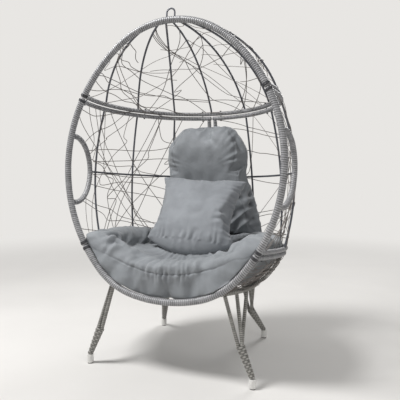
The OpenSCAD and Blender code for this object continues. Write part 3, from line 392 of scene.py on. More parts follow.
def flat_strip(builder, path, normals, width, thick, tone):
    """Sweeps a flat strand with rounded edges along a path that lies on a surface."""
    points = np.array(path)
    tangents = unit(np.gradient(points, axis=0))
    sides = unit(np.cross(tangents, np.array(normals)))
    ups = np.cross(sides, tangents)
    a = np.arange(6) * math.pi / 3 + math.pi / 6
    ring = rings_round(points, sides, ups, (np.cos(a) * width / 2)[None], (np.sin(a) * thick / 2)[None])
    builder.rings(ring, np.full(ring.shape[:2], tone))


# Materials: node trees built from small helpers


class Nodes:
    """The node tree of a material or a world."""

    def __init__(self, owner):
        owner.use_nodes = True
        self.owner = owner
        self.tree = owner.node_tree
        self.shader = self.tree.nodes.get("Principled BSDF")

    def fill(self, node, values):
        """Sets inputs of a node, or links them where the value is an output."""
        for key, value in dict(values).items():
            if isinstance(value, bpy.types.NodeSocket):
                self.tree.links.new(value, node.inputs[key])
            else:
                node.inputs[key].default_value = value

    def node(self, kind, values=(), **settings):
        node = self.tree.nodes.new(kind)
        for key, value in settings.items():
            setattr(node, key, value)
        self.fill(node, values)
        return node

    def add(self, kind, output, values=(), **settings):
        """Adds a node and gives one of its outputs."""
        return self.node(kind, values, **settings).outputs[output]

    def place(self):
        coords = self.add("ShaderNodeTexCoord", "Object")
        return self.add("ShaderNodeMapping", "Vector", {"Vector": coords})

    def noise(self, scale, detail=4.0, roughness=0.5):
        values = {"Vector": self.place(), "Scale": scale, "Detail": detail, "Roughness": roughness}
        return self.add("ShaderNodeTexNoise", "Fac", values)

    def tone(self):
        """The value that a mesh has for colour at each point: its own tone, darkened by painted shade
        in grooves, gaps and folds.
        """
        return self.add("ShaderNodeAttribute", "Fac", attribute_name="tone")

    def ramp(self, source, stops):
        node = self.node("ShaderNodeValToRGB", {"Fac": source})
        elements = node.color_ramp.elements
        while len(elements) < len(stops):
            elements.new(0.5)
        for element, (at, colour) in zip(elements, stops):
            element.position = at
            element.color = (*colour, 1.0)
        return node.outputs["Color"]

    def mottle(self, source, colour, low, high):
        """Patches between two shades of a colour, given as place on the ramp and share."""
        return self.ramp(source, [(at, tuple(share * c for c in colour)) for at, share in (low, high)])

    def scaled(self, source, low, high):
        values = {"Value": source, "To Min": low, "To Max": high}
        return self.add("ShaderNodeMapRange", "Result", values)

    def multiply(self, a, b):
        values = {"Factor": 1.0, "A": a, "B": b}
        return self.add("ShaderNodeMix", "Result", values, data_type="RGBA", blend_type="MULTIPLY")

    def bump(self, source, distance, strength, under=None):
        values = {"Height": source, "Distance": distance, "Strength": strength}
        if under is not None:
            values["Normal"] = under
        return self.add("ShaderNodeBump", "Normal", values)

    def blend(self, share, a, b):
        """Shader b over shader a, by its share."""
        return self.add("ShaderNodeMixShader", "Shader", {"Fac": share, 1: a, 2: b})

    def surface(self, colour, normal, roughness, values=()):
        """Fills the shader's three main inputs and others, and gives the material."""
        main = {"Base Color": colour, "Normal": normal, "Roughness": roughness}
        self.fill(self.shader, {**main, **dict(values)})
        return self.owner


def new_material(name):
    return Nodes(bpy.data.materials.new(name))


def srgb(r, g, b):
    """A colour as it should look, in the shader's linear values."""
    return tuple((c / 255 / 12.92) if c < 11 else ((c / 255 + 0.055) / 1.055) ** 2.4 for c in (r, g, b))


def wicker_material(name, dark, light, gloss):
    """Flat resin strand: painted shade darkens it between its turns, with fine fibres along it."""
    n = new_material(name)
    middle = mix(np.array(dark), np.array(light), 0.6)
    base = n.ramp(n.tone(), [(0.0, dark), (0.45, middle), (1.0, light)])
    patches = n.ramp(n.noise(9.0), [(0.3, (0.86, 0.86, 0.87)), (0.7, (1.0, 1.0, 1.0))])
    fibres = n.bump(n.noise(900.0, 2.0, 0.6), 0.0004, 0.5)
    roughness = n.scaled(n.noise(120.0), gloss - 0.06, gloss + 0.1)
    return n.surface(n.multiply(base, patches), fibres, roughness, {"Specular IOR Level": 0.5})


def steel_material(name, colour, roughness):
    """Powder coat on steel, a little darker in patches."""
    n = new_material(name)
    worn = n.mottle(n.noise(35.0, 6.0), colour, (0.35, 0.8), (0.65, 1.0))
    grain = n.bump(n.noise(600.0, 2.0), 0.0003, 0.35)
    rough = n.scaled(n.noise(60.0), roughness - 0.05, roughness + 0.1)
    return n.surface(worn, grain, rough, {"Metallic": 0.15})


def plastic_material(name, colour, roughness):
    """Moulded plastic with light scuffs."""
    n = new_material(name)
    scuffs = n.mottle(n.noise(80.0, 6.0, 0.7), colour, (0.4, 0.86), (0.6, 1.0))
    grain = n.bump(n.noise(500.0, 3.0), 0.0003, 0.3)
    return n.surface(scuffs, grain, n.scaled(n.noise(50.0), roughness - 0.08, roughness + 0.1))


def fabric_material(name, colour):
    """Closely woven polyester: fine crossed threads, slight mottling, painted shade in its folds, seams
    and tufts, and a soft sheen.
    """
    n = new_material(name)
    mottle = n.mottle(n.noise(14.0, 5.0, 0.6), colour, (0.3, 0.9), (0.7, 1.04))
    # painted shade: folds, seams and tufts are darkened by the mesh's stored value
    fold_shade = n.ramp(n.tone(), [(0.0, (0.3, 0.3, 0.32)), (1.0, (1.0, 1.0, 1.0))])
    threads = []
    for axis in "XZ":
        values = {"Vector": n.place(), "Scale": 380.0, "Distortion": 1.2}
        bands = {"wave_type": "BANDS", "bands_direction": axis}
        threads.append(n.add("ShaderNodeTexWave", "Fac", values, **bands))
    weave = n.add("ShaderNodeMath", "Value", enumerate(threads), operation="MAXIMUM")
    fine = n.bump(weave, 0.0003, 0.35)
    crumple = n.bump(n.noise(28.0, 3.0, 0.55), 0.006, 0.35, fine)
    sheen = {"Sheen Weight": 0.25, "Sheen Roughness": 0.5}
    return n.surface(n.multiply(mottle, fold_shade), crumple, n.scaled(n.noise(40.0), 0.62, 0.78), sheen)


# The first colour of each wrapped wicker is the painted shade in the gaps between its turns; the loose
# strands' two colours are their own darker and lighter tones.
TUBE = wicker_material("wrapped_wicker", srgb(22, 23, 25), srgb(180, 180, 182), 0.30)
LEG_WRAP = wicker_material("leg_wicker", srgb(20, 20, 19), srgb(172, 170, 164), 0.34)
TIE = wicker_material("tie_wicker", srgb(16, 16, 18), srgb(74, 74, 78), 0.4)
STRAND = wicker_material("strand_wicker", srgb(72, 68, 66), srgb(134, 127, 122), 0.45)
STEEL = steel_material("dark_steel", srgb(92, 94, 101), 0.38)
BOLT = steel_material("fastener_steel", srgb(48, 48, 50), 0.35)
WIRE = steel_material("loop_steel", srgb(104, 106, 114), 0.34)
CAP = plastic_material("white_cap", srgb(232, 231, 228), 0.35)
GLIDE = plastic_material("dark_glide", srgb(40, 40, 42), 0.5)
FABRIC = fabric_material("grey_fabric", srgb(136, 140, 144))
PILLOW_FABRIC = fabric_material("pillow_fabric", srgb(138, 142, 147))


def mirrored(path):
    return [p * vec(-1, 1, 1) for p in path]


# Wrapped tubes


SIDES = ((-1, "left"), (1, "right"))
# A tube that ends on another one stops just inside its skin
INTO = 1.0
# Half the gap between the two halves of a bar, at the middle of the back
HALF_GAP = 3.0


def wrapped(node, paths, r, seeds, material=TUBE, place=in_basket, name=None, **turns):
    """One piece of wrapped tubes that share a radius, in place of a CAD node."""
    b = Builder()
    for path, seed in zip(paths, seeds):
        wrap(b, path, r, seed=seed, **turns)
    b.build((name or node) + "_wrap", material, place, [node])


def rim_pieces():
    half_gap = SEAM_GAP / 2
    top = rim_path(HIGH_SEAM_V + half_gap, EGG_H, 1)
    wrapped("dome_rim", [top + mirrored(top)[::-1]], RIM_R, [1])
    low = rim_path(0.01, LOW_SEAM_V - half_gap, 1)
    wrapped("bowl_rim", [mirrored(low)[::-1] + low], RIM_R, [2])
    at_rim, at_bar = RIM_R - INTO, BAR_R - INTO
    for side, word in SIDES:
        rim = rim_path(LOW_SEAM_V + half_gap, HIGH_SEAM_V - half_gap, side)
        wrapped(word + "_rim", [rim], RIM_R, [3])
        ends = {"name": word + "_arm", "start": at_rim, "end": at_rim}
        wrapped(word + "_arm_loop", [arm_path(side)], ARM_R, [4], **ends)
        post = post_path(side * POST_X)
        wrapped(word + "_post", [post], BAR_R, [5], start=at_bar, end=at_bar)


def bar_path(v, end=None):
    """A level bar round the back from the left of the rim, to its right or up to an angle."""
    s = level_turn(v)
    short = math.degrees((RIM_R - INTO) / level(v)[0])
    return level_path(v, 180 + s - short, short - s if end is None else end)


def bar_pieces():
    for v, name in ((DOME_RING_V, "dome_ring"), (BOWL_RING_V, "bowl_ring")):
        wrapped(name, [bar_path(v)], BAR_R, [6])
    for side, word in SIDES:
        for v, bar in ((TOP_BAR_V, "top_bar"), (BOTTOM_BAR_V, "bottom_bar")):
            half = bar_path(v, 90 + asin(HALF_GAP / level(v)[0]))
            name = f"{word}_{bar}"
            wrapped(name, [half if side < 0 else mirrored(half)], BAR_R, [7])
    inner = range(1, BAYS)
    rods = [bowl_rod_path(k) for k in inner]
    ends = {"start": BAR_R - INTO, "end": BAR_R - INTO}
    wrapped("bowl_rods", rods, BOWL_ROD_R, inner, LEG_WRAP, **ends)


def base_pieces():
    ring = [base_point(a) for a in np.linspace(2 - BASE_TURN, 178 + BASE_TURN, 200)]
    wrapped("base_ring", [ring], BAR_R, [8], LEG_WRAP, in_chair)
    bars = []
    for step in (-BASE_BAR_STEP, 0, BASE_BAR_STEP):
        half = math.sqrt((BASE_R - BAR_R) ** 2 - (abs(step) + BAR_R) ** 2)
        bars.append([vec(side * half, BASE_Y + step, BASE_Z) for side in (-1, 1)])
    wrapped("base_bars", bars, BAR_R, [9, 9, 9], LEG_WRAP, in_chair)


# The bands start and end at these distances from a seam
TIE_START, TIE_END = 5.0, 17.0


def rim_ties():
    """Dark bands of wicker that bind the rim and the bars beside each seam."""
    b = Builder()
    for v in (LOW_SEAM_V, HIGH_SEAM_V):
        for side in (-1, 1):
            for low in (v - TIE_END, v + TIE_START):
                band = rim_path(low, low + TIE_END - TIE_START, side, 1.0)
                wrap(b, band, RIM_R + 1.6, pitch=4.0, ridge=0.8, seed=int(v + low))
    b.build("rim_ties", TIE, in_basket)


# Legs: three wrapped tubes that run together into a woven sleeve


SLEEVE_STAKES, SLEEVE_ROW = 8, 9.0
SLEEVE_SIDES, STEPS_PER_ROW = SLEEVE_STAKES * 6, 8
# The three tubes stand this far from the leg's axis where the sleeve begins
TUBE_SPREAD = LEG_R * 2 / math.sqrt(3) + 1


def split_points(foot, split):
    """The middles of the three tubes where they part."""
    down = unit(foot - split)
    out = split - vec(0, BASE_Y, SPLIT_Z)
    e1 = unit(out - (out @ down) * down)
    e2 = np.cross(down, e1)
    return [split + TUBE_SPREAD * (cos(a) * e1 + sin(a) * e2) for a in (120, 0, -120)]


def leg_pieces(name, foot, step, angles, side):
    def place(p):
        return in_chair(p * vec(side, 1, 1))

    end = vec(*foot, CAP_TOP)
    # the tubes part from the sleeve here
    split = vec(foot[0] - step[0], foot[1] + step[1], SPLIT_Z)
    lows = split_points(end, split)
    tubes = []
    for low, angle in zip(lows, angles):
        high = base_point(angle)
        along = unit(high - low)
        tubes.append([low - along * 4, high - along * (BAR_R - INTO)])
    seeds = [int(angle) + 50 for angle in angles]
    winding = {"pitch": 8.0, "ridge": 1.4}
    wrapped(name + "_leg", tubes, LEG_R, seeds, LEG_WRAP, place, **winding)
    b = Builder()
    sleeve(b, end, split, lows[1])
    b.build(name + "_sleeve_weave", LEG_WRAP, place, [name + "_sleeve"])


def sleeve(builder, foot, split, low):
    """A tapered sleeve: level weavers pass over and under upright stakes."""
    axis = split - foot
    length = np.linalg.norm(axis)
    e1 = unit(low - split)
    e2 = np.cross(axis / length, e1)
    a = np.arange(SLEEVE_SIDES) * 2 * math.pi / SLEEVE_SIDES
    around = np.cos(a)[:, None] * e1 + np.sin(a)[:, None] * e2
    # round at the foot, and wide enough for the three tubes at the top
    reach = [TUBE_SPREAD * np.cos(a - math.radians(c)) for c in (0, 120, 240)]
    corner = np.max(reach, axis=0) + LEG_R + 2
    rows = int(length / SLEEVE_ROW)
    steps = rows * STEPS_PER_ROW
    rings, tones_and_shade = [], []
    for i in range(steps + 1):
        t = i / steps
        row = math.floor(t * rows)
        over = (-1) ** row * np.cos(a * SLEEVE_STAKES / 2)
        crown = 1 - abs(2 * (t * rows - row) - 1) ** 3
        radius = mix(CAP_R - 2, corner, t) + 1.5 * over * crown - 1.2 * (1 - crown) - 0.9
        if i in (0, steps):
            radius = radius * 0.8
        rings.append(mix(foot, split, t) + radius[:, None] * around)
        # painted shade darkens the gaps between rows and where a weaver passes under a stake
        tones_and_shade.append(np.clip(crown * (0.66 + 0.34 * over), 0.12, 1))
    builder.rings(np.array(rings), np.array(tones_and_shade))


# Loose strands: long flat strips laced at random over both sides of the ribs


def path_at(path, t):
    x = min(max(t, 0.0), 1.0) * (len(path) - 1)
    i = min(int(x), len(path) - 2)
    return mix(path[i], path[i + 1], x - i)


def rod_columns(path_of, v0, v1):
    """Points on the rods, and on the rim from one height to another at both ends of the row."""
    paths = {k: np.array(path_of(k)) for k in range(1, BAYS)}

    def column(k, t):
        if 0 < k < BAYS:
            return path_at(paths[k], t)
        v = mix(v0, v1, t)
        return vec((-1 if k == 0 else 1) * rim_w(v), 0, v)

    return column


dome_column = rod_columns(rib_path, top_v(4 * RIB_PITCH), DOME_RING_V)
bowl_column = rod_columns(bowl_rod_path, BOWL_RING_V, BASE_V)


def middle_column(k, t):
    return level_point(mix(TOP_BAR_V, BOTTOM_BAR_V, t), k)


# A point inside the egg that all strands face away from, and their bulge between two rods
EGG_MIDDLE, BULGE = vec(0, 260, 560), 14


def on_surface(column, k, t):
    """A point between two columns, and the direction away from the egg's middle."""
    k = min(max(k, 0.0), float(BAYS))
    low = min(int(k), BAYS - 1)
    f = k - low
    p = mix(column(low, t), column(low + 1, t), f)
    out = unit(p - EGG_MIDDLE)
    return p + out * BULGE * f * (1 - f), out


def strand_line(rng, column, start, end, sway):
    """A wavy line over the surface from one place to another, with a kink in it."""
    reach = np.linalg.norm(on_surface(column, *end)[0] - on_surface(column, *start)[0])
    n = max(int(reach * 1.1 / 7), 6)
    a, b, c, d = [rng.random() * 6.28 for _ in range(4)]
    kink, kink_at = rng.uniform(-1, 1) ** 3, rng.uniform(0.2, 0.8)
    line = []
    for i in range(n + 1):
        s = i / n
        hold = sway * min(s, 1 - s, 0.25) * 4
        dk = 0.16 * hold * (math.sin(4.2 * s + a) + 0.25 * math.sin(9 * s + b))
        dt = 0.06 * hold * (math.sin(3.8 * s + c) + 0.25 * math.sin(10 * s + d))
        bend = kink * math.exp(-((s - kink_at) / 0.055) ** 2)
        k, t = mix(start[0], end[0], s), mix(start[1], end[1], s)
        line.append((k + dk + 0.45 * bend, t + dt - 0.09 * bend))
    return line


def lace(builder, rng, column, start, end, sway, rod_r, width, free=None):
    """One strand over or under the rods, left out where it isn't free to run."""
    line = strand_line(rng, column, start, end, sway)
    side = 1 if rng.random() < 0.55 else -1
    lift = side * (rod_r + STRAND_CLEAR + rng.random() * 2.4)
    tone = 0.25 + 0.75 * rng.random()
    points, normals = [], []
    for place in line + [None]:
        if place is None or (free is not None and not free(*place)):
            if len(points) > 3:
                flat_strip(builder, points, normals, width, STRAND_T, tone)
            points, normals = [], []
            continue
        p, out = on_surface(column, *place)
        points.append(p + out * lift)
        normals.append(out)


DOME_DOWN, DOME_ACROSS, MIDDLE_STRANDS, BOWL_STRANDS, BOWL_LEVELS = 17, 15, 27, 80, 10
STRAND_W, BOWL_STRAND_W, STRAND_T, STRAND_CLEAR = 3.6, 3.4, 2.2, 1.4


def either_way(rng, low, high):
    return rng.uniform(low, high) * (1 if rng.random() < 0.5 else -1)


def dome_lacing():
    rng = random.Random(5)
    b = Builder()
    for _ in range(DOME_DOWN):
        # from a rib or the rim near the top down to the ring
        k0 = float(rng.randint(0, BAYS))
        reach = either_way(rng, 1.6, 4.4)
        k1 = k0 + reach
        if k1 < 0.0 or k1 > BAYS:
            k1 = k0 - reach
        start = (k0, rng.uniform(0.10, 0.3))
        lace(b, rng, dome_column, start, (k1, 1.0), rng.uniform(0.4, 1.3), ROD_R, STRAND_W)
    for _ in range(DOME_ACROSS):
        # from one side of the rim across to the ring or the other side
        left = rng.random() < 0.5
        t0 = rng.uniform(0.25, 0.92)
        k1 = rng.uniform(1.5, 6.5)
        end = (k1 if left else BAYS - k1, min(1.0, t0 + rng.uniform(-0.25, 0.6)))
        start = (0.0 if left else float(BAYS), t0)
        lace(b, rng, dome_column, start, end, rng.uniform(0.5, 1.5), ROD_R, STRAND_W)
    b.build("dome_lacing", STRAND, in_basket, ["dome_net"])


# Strands keep out of an ellipse this much higher than the arm window
ARM_MARGIN = 1.08


def off_arm(k, t):
    """True where a strand of the middle is outside the arm windows."""
    rise = (mix(TOP_BAR_V, BOTTOM_BAR_V, t) - ARM_V) / ARM_HALF_H / ARM_MARGIN
    return abs(rise) >= 1 or min(k, BAYS - k) > ARM_K * math.sqrt(1 - rise ** 2) + 0.05


def middle_lacing(side, word):
    rng = random.Random(21 + side)
    b = Builder()
    half = BAYS / 2 - 0.12
    for _ in range(MIDDLE_STRANDS):
        kind = rng.random()
        if kind < 0.45:
            # from bar to bar
            start, end = (rng.uniform(0.0, half), 0.0), (rng.uniform(0.0, half), 1.0)
        elif kind < 0.75:
            # from the rim to the post
            t0 = rng.uniform(0.05, 0.95)
            start, end = (0.0, t0), (half, min(max(t0 + rng.uniform(-0.45, 0.45), 0.02), 0.98))
        else:
            # from the rim to a bar
            start = (0.0, rng.uniform(0.05, 0.95))
            end = (rng.uniform(1.0, half), 0.0 if rng.random() < 0.5 else 1.0)
        lace(b, rng, middle_column, start, end, rng.uniform(0.15, 0.8), ROD_R, STRAND_W, off_arm)
    if side > 0:
        b.points = [p * vec(-1, 1, 1) for p in b.points]
        b.faces = [f[::-1] for f in b.faces]
    b.build(word + "_lacing", STRAND, in_basket, [word + "_net"])


def bowl_lacing():
    rng = random.Random(33)
    b = Builder()
    for _ in range(BOWL_STRANDS):
        k0 = rng.uniform(0.0, BAYS)
        k1 = min(max(k0 + either_way(rng, 0.4, 1.8), 0.0), float(BAYS))
        sway = rng.uniform(0.2, 0.7)
        lace(b, rng, bowl_column, (k0, 0.0), (k1, 1.0), sway, BOWL_ROD_R, BOWL_STRAND_W)
    for i in range(BOWL_LEVELS):
        t0 = 0.1 + 0.08 * i
        for k0, k1 in ((0.0, rng.uniform(2.0, 3.9)), (float(BAYS), BAYS - rng.uniform(2.0, 3.9))):
            end = (k1, min(t0 + rng.uniform(-0.1, 0.2), 1.0))
            lace(b, rng, bowl_column, (k0, t0), end, 0.3, BOWL_ROD_R, BOWL_STRAND_W)
    b.build("bowl_lacing", STRAND, in_basket, ["bowl_net"])


# Cushions


def read(mesh, kind):
    """The places or the normals of a mesh's points, as rows of an array."""
    values = np.empty(len(mesh.vertices) * 3, np.float32)
    mesh.vertices.foreach_get(kind, values)
    return values.reshape(-1, 3).astype(float)


def set_coords(mesh, co):
    mesh.vertices.foreach_set("co", co.astype(np.float32).reshape(-1))
    mesh.update()


def modify(piece, kind, **settings):
    modifier = piece.modifiers.new(kind.lower(), kind)
    for key, value in settings.items():
        setattr(modifier, key, value)
    return modifier


def apply_all(piece):
    """Replaces the mesh of a piece by what its modifiers make of it."""
    bpy.context.view_layer.update()
    depsgraph = bpy.context.evaluated_depsgraph_get()
    fresh = bpy.data.meshes.new_from_object(piece.evaluated_get(depsgraph))
    piece.modifiers.clear()
    piece.data = fresh


CLOTH = {
    "quality": 5,
    "mass": 0.25,
    "tension_stiffness": 15,
    "compression_stiffness": 15,
    "shear_stiffness": 5,
    "bending_stiffness": 8.0,
    "use_pressure": True,
}
CLOTH_FRAMES = 20


def inflate(piece, pressure, slack, cap):
    """Runs the cloth simulation that fills the cushion, and limits how far a point may move."""
    before = read(piece.data, "co")
    cloth = modify(piece, "CLOTH")
    for key, value in CLOTH.items():
        setattr(cloth.settings, key, value)
    cloth.settings.uniform_pressure_force = pressure
    cloth.settings.effector_weights.gravity = 0
    cloth.settings.shrink_min = -slack
    cloth.point_cache.frame_start = 1
    cloth.point_cache.frame_end = CLOTH_FRAMES
    scene = bpy.context.scene
    for f in range(1, CLOTH_FRAMES + 1):
        scene.frame_set(f)
    apply_all(piece)
    scene.frame_set(1)
    move = read(piece.data, "co") - before
    size = np.linalg.norm(move, axis=1)
    limit = cap * np.tanh(size / cap) / np.maximum(size, 1e-9)
    set_coords(piece.data, before + move * limit[:, None])


def subdivide(piece):
    modify(piece, "SUBSURF", levels=1, render_levels=1)
    apply_all(piece)


def filled(node, name, rounds, slack):
    """A fine copy of a CAD cushion, smoothed, drawn in a little and blown up as cloth."""
    mesh = NODES[node].data.copy()
    mesh.name = name
    piece = new_object(name, mesh)
    modify(piece, "REMESH", mode="VOXEL", voxel_size=0.007)
    modify(piece, "SMOOTH", factor=0.5, iterations=rounds)
    apply_all(piece)
    set_coords(piece.data, read(piece.data, "co") - read(piece.data, "normal") * 0.004)
    inflate(piece, 4.0, slack, 0.022)
    subdivide(piece)
    return piece


def finish_cushion(piece, tones_and_shade, node, body, material):
    dress(piece, tones_and_shade, body, material, [node])


def noise_at(points, sizes, seed):
    """Smooth noise at every point, with a size of its own along each axis, in millimetres."""
    shift = Vector((3.1 * seed, 7.7 * seed, 1.3 * seed))
    return np.array([noise.noise(Vector(q) + shift) for q in points * (1 / np.array(sizes, float))])


def bell(distance, width):
    return np.exp(-(distance / width) ** 2)


def line_distance(points, line):
    """Distance of every point to a chain of points, and how far along the chain it lies."""
    best = np.full(len(points), 1e9)
    along = np.zeros(len(points))
    for i, (a, b) in enumerate(zip(line, line[1:])):
        ab = b - a
        t = np.clip(((points - a) @ ab) / (ab @ ab), 0, 1)
        d = np.linalg.norm(points - a - t[:, None] * ab, axis=1)
        near = d < best
        best[near] = d[near]
        along[near] = (i + t[near]) / (len(line) - 1)
    return best, along


class Folds:
    """Seams, folds and puckers of a cushion: moves along its normals, in millimetres, and painted shade
    in its hollows.
    """

    def __init__(self, piece, frame_of):
        self.piece = piece
        self.points = frame_of(read(piece.data, "co"))
        normals = read(piece.data, "normal")
        self.normals = frame_of(normals * MM) - frame_of(np.zeros((1, 3)))
        self.push = np.zeros(len(normals))
        self.tones_and_shade = np.ones(len(normals))

    def creases(self, table):
        """Sunken lines between two raised lips, with painted shade in them: width, depth, strength of
        the painted shade and the line's points.
        """
        for width, depth, dark, *line in table:
            d, along = line_distance(self.points, np.array(line, float))
            ends = np.sqrt(np.sin(np.pi * np.clip(along, 0.03, 0.97)))
            lips = 0.55 * bell(d - 2.3 * width, 1.3 * width)
            self.push += depth * (lips - bell(d, width)) * ends
            self.tones_and_shade -= dark * bell(d, 0.6 * width) * ends

    def seam(self, distance, mask, width, depth):
        """A sewn line where the distance is zero, sunk and darkened with painted shade."""
        self.push -= depth * bell(distance, width) * mask
        self.tones_and_shade -= 0.4 * bell(distance, 0.55 * width) * mask

    def waves(self, wave, strength, dark=0.16):
        """Folds that rise and sink with a wave between about -1 and 1, with painted shade where they
        sink.
        """
        self.push += wave * strength
        self.tones_and_shade += dark * np.minimum(wave, 0) * np.minimum(strength, 3.0) / 3.0

    def apply(self):
        mesh = self.piece.data
        set_coords(mesh, read(mesh, "co") + read(mesh, "normal") * (self.push * MM)[:, None])
        return np.clip(self.tones_and_shade, 0, 1)


def basket_frame(points):
    """Points in metres of the row frame, in the leaning basket in millimetres."""
    x, y, z = points.T / MM
    return to_basket((x, y + CENTRE_Y, z)).T


# Heights of the nest's edge, and the curve of the seam along its front
NEST_FRONT_V, NEST_SIDE_V, NEST_BACK_V = 140.0, 282.0, 235.0
NEST_SEAM_V, NEST_SEAM_CURVE = 112, 0.00088
NEST_TUFTS = ((-75, 191), (-34, 178), (90, 205), (40, 300), (-80, 310))
# Each crease: width, depth, strength of its painted shade, then points of its line
NEST_CREASES = (
    # deep folds where the left wing meets the seat, and where it bends at the front
    (9, 15, 0.75, (-262, 372, 236), (-262, 330, 200), (-252, 288, 172)),
    (12, 18, 0.5, (-318, 51, 263), (-288, 110, 240), (-240, 100, 212), (-196, 74, 194)),
    (10, 13, 0.35, (-290, 12, 215), (-262, 52, 228), (-222, 58, 204)),
    (9, 10, 0.35, (-288, 4, 176), (-274, 10, 200), (-262, 36, 222)),
    # where the right wing bends at the front
    (13, 20, 0.6, (243, 22, 205), (240, 60, 222), (232, 96, 214)),
    (11, 12, 0.35, (300, 20, 235), (300, 60, 262), (296, 110, 262)),
    # short ones over the front roll
    (8, 13, 0.6, (-2, -2, 118), (8, 26, 136)),
    (8, 14, 0.6, (50, 2, 122), (66, 36, 142)),
    (9, 15, 0.6, (112, 6, 128), (126, 60, 152)),
    (8, 11, 0.5, (-60, -2, 116), (-50, 20, 132)),
)


def nest_fabric():
    piece = filled("nest_cushion", "nest_fabric", 14, 0.07)
    f = Folds(piece, basket_frame)
    x, depth, v = f.points.T
    around = np.arctan2(x, BASE_Y - depth)
    turn = np.degrees(around)
    side = np.abs(turn)
    outward = (f.normals[:, :2] * np.stack([np.sin(around), -np.cos(around)], 1)).sum(1)
    roll = np.where(
        side < 90,
        mix(NEST_FRONT_V, NEST_SIDE_V, ease(side, 34, 66)),
        mix(NEST_SIDE_V, NEST_BACK_V, ease(side, 100, 160)),
    )
    back = ease(side, 50, 66)
    above = v - mix(NEST_SEAM_V + NEST_SEAM_CURVE * x ** 2, roll - 45, back)
    slope = np.sqrt(1 + (2 * NEST_SEAM_CURVE * x * (1 - back)) ** 2)
    f.seam(above / slope, ease(outward, -0.05, 0.25), 3.2, 3.0)
    # gathers run across the seam, most in the middle of the front
    s = around * 300
    flat = np.stack([s, above, 0 * s], 1)
    drift = noise_at(flat, (70, 200, 1), 1) * 4
    gather = np.sin(2 * np.pi * s / 27 + drift) * (0.55 + 0.9 * noise_at(flat, (55, 90, 1), 2))
    reach = np.where(above > 0, np.exp(-above / 20), np.exp(above / 22))
    middle = 0.35 + 0.65 * bell(turn - 4, 26)
    f.waves(gather, 6.5 * reach * middle * ease(outward, -0.75, -0.35), 0.24)
    # long folds run along the wings, short ones down the front face
    wing = ease(side, 30, 55)
    along = np.stack([s, above + 0.25 * s, depth * 0.3], 1)
    long_folds = 1 - 2.6 * np.abs(noise_at(along, (230, 46, 120), 3))
    f.waves(long_folds, 9.0 * wing * ease(roll - v, -110, -20))
    f.waves(noise_at(flat, (38, 110, 1), 4), 8.0 * (1 - wing), 0.3)
    f.waves(noise_at(f.points, 75, 5), 7.5)
    f.waves(noise_at(f.points, 30, 6), 2.6)
    # the wings are stuffed fuller than the seat
    f.push += 6 * bell(v - roll + 12, 42) * ease(side, 42, 64) * ease(outward, 0.9, 0.3)
    # the roll of the front swells above its seam
    f.push += 4 * bell(above - 26, 20) * (1 - wing) * ease(outward, -0.9, -0.4)
    # the seat sinks behind the roll, in front of the pillow, with painted shade where it sinks
    lying = ease(f.normals[:, 2], 0.2, 0.6) * ease(np.abs(x), 215, 155)
    sunk = bell(depth - 118, 30) * lying
    f.push += 4 * bell(depth - 52, 24) * lying - 12 * sunk
    f.tones_and_shade -= 0.3 * sunk
    f.creases(NEST_CREASES)
    # tufts pull the fabric in, with painted shade in each dimple
    for tuft_x, tuft_depth in NEST_TUFTS:
        d = np.hypot(x - tuft_x, depth - tuft_depth)
        f.push -= 9 * bell(d, 15) * (v > 140)
        f.tones_and_shade -= 0.6 * bell(d, 7) * (v > 140)
    tones_and_shade = f.apply()
    press_to_rim(piece)
    finish_cushion(piece, tones_and_shade, "nest_cushion", "nest", FABRIC)


# Only the front of the nest is pressed to the rim, and stays this far off the tube
NEST_FRONT, RIM_CLEAR = 90, 2.5
# The nest slides out 30 degrees above level: its step along the basket's depth, and its rise
SLIDE_STEP = cos(30) * cos(RIM_LEAN) + sin(30) * sin(RIM_LEAN)
SLIDE_RISE = sin(30) * cos(RIM_LEAN) - cos(30) * sin(RIM_LEAN)


def press_to_rim(piece):
    """Spreads the nest's front edge until it all but touches the inside of the rim tube."""
    mesh = piece.data
    co = read(mesh, "co")
    p = basket_frame(co)
    front = np.where(p[:, 1] < NEST_FRONT)[0]
    q = p[front]
    path = np.array(rim_path(0.01, HIGH_SEAM_V, 1, 6.0))[:, [0, 2]]
    flat = np.stack([np.abs(q[:, 0]), q[:, 2]], 1)
    apart = flat[:, None, :] - path[None, :, :]
    far = np.linalg.norm(apart, axis=2)
    nearest = far.argmin(axis=1)
    d = far[np.arange(len(front)), nearest]
    inward = apart[np.arange(len(front)), nearest] / np.maximum(d, 1e-6)[:, None]
    # behind the tube, clear of it along the way that the nest slides out
    rise = np.maximum(inward[:, 1], 0) * SLIDE_RISE
    length = np.hypot(SLIDE_STEP, rise)
    behind = (q[:, 1] * rise + d * SLIDE_STEP) / length
    gap = np.where(q[:, 1] > 0, behind, np.hypot(d, q[:, 1])) - RIM_R - RIM_CLEAR
    # points near the tube go all the way, those farther in or behind stay
    share = ease(gap, 46, 9) * ease(q[:, 1], 80, 35)
    shift = -inward * (gap * share * length / SLIDE_STEP)[:, None]
    move = np.stack([shift[:, 0] * np.sign(q[:, 0]), np.zeros(len(q)), shift[:, 1]], 1)
    co[front] += np.array([in_basket(a + b) - in_basket(a) for a, b in zip(q, move)])
    set_coords(mesh, co)
    weight = np.zeros(len(co))
    weight[front] = ease(gap, 70, 40) * ease(q[:, 1], 85, 55)
    relax(mesh, weight, 14)


def relax(mesh, weight, turns):
    """Draws every point towards the middle of its neighbours, by its weight."""
    ends = np.empty(len(mesh.edges) * 2, int)
    mesh.edges.foreach_get("vertices", ends)
    a, b = ends.reshape(-1, 2).T
    co = read(mesh, "co")
    count = np.bincount(ends, minlength=len(co))[:, None]
    for _ in range(turns):
        total = np.zeros_like(co)
        np.add.at(total, a, co[b])
        np.add.at(total, b, co[a])
        co += (total / count - co) * (0.6 * weight)[:, None]
    set_coords(mesh, co)


PAD_SPREAD, PAD_FOOT_LESS = 1.13, 0.06


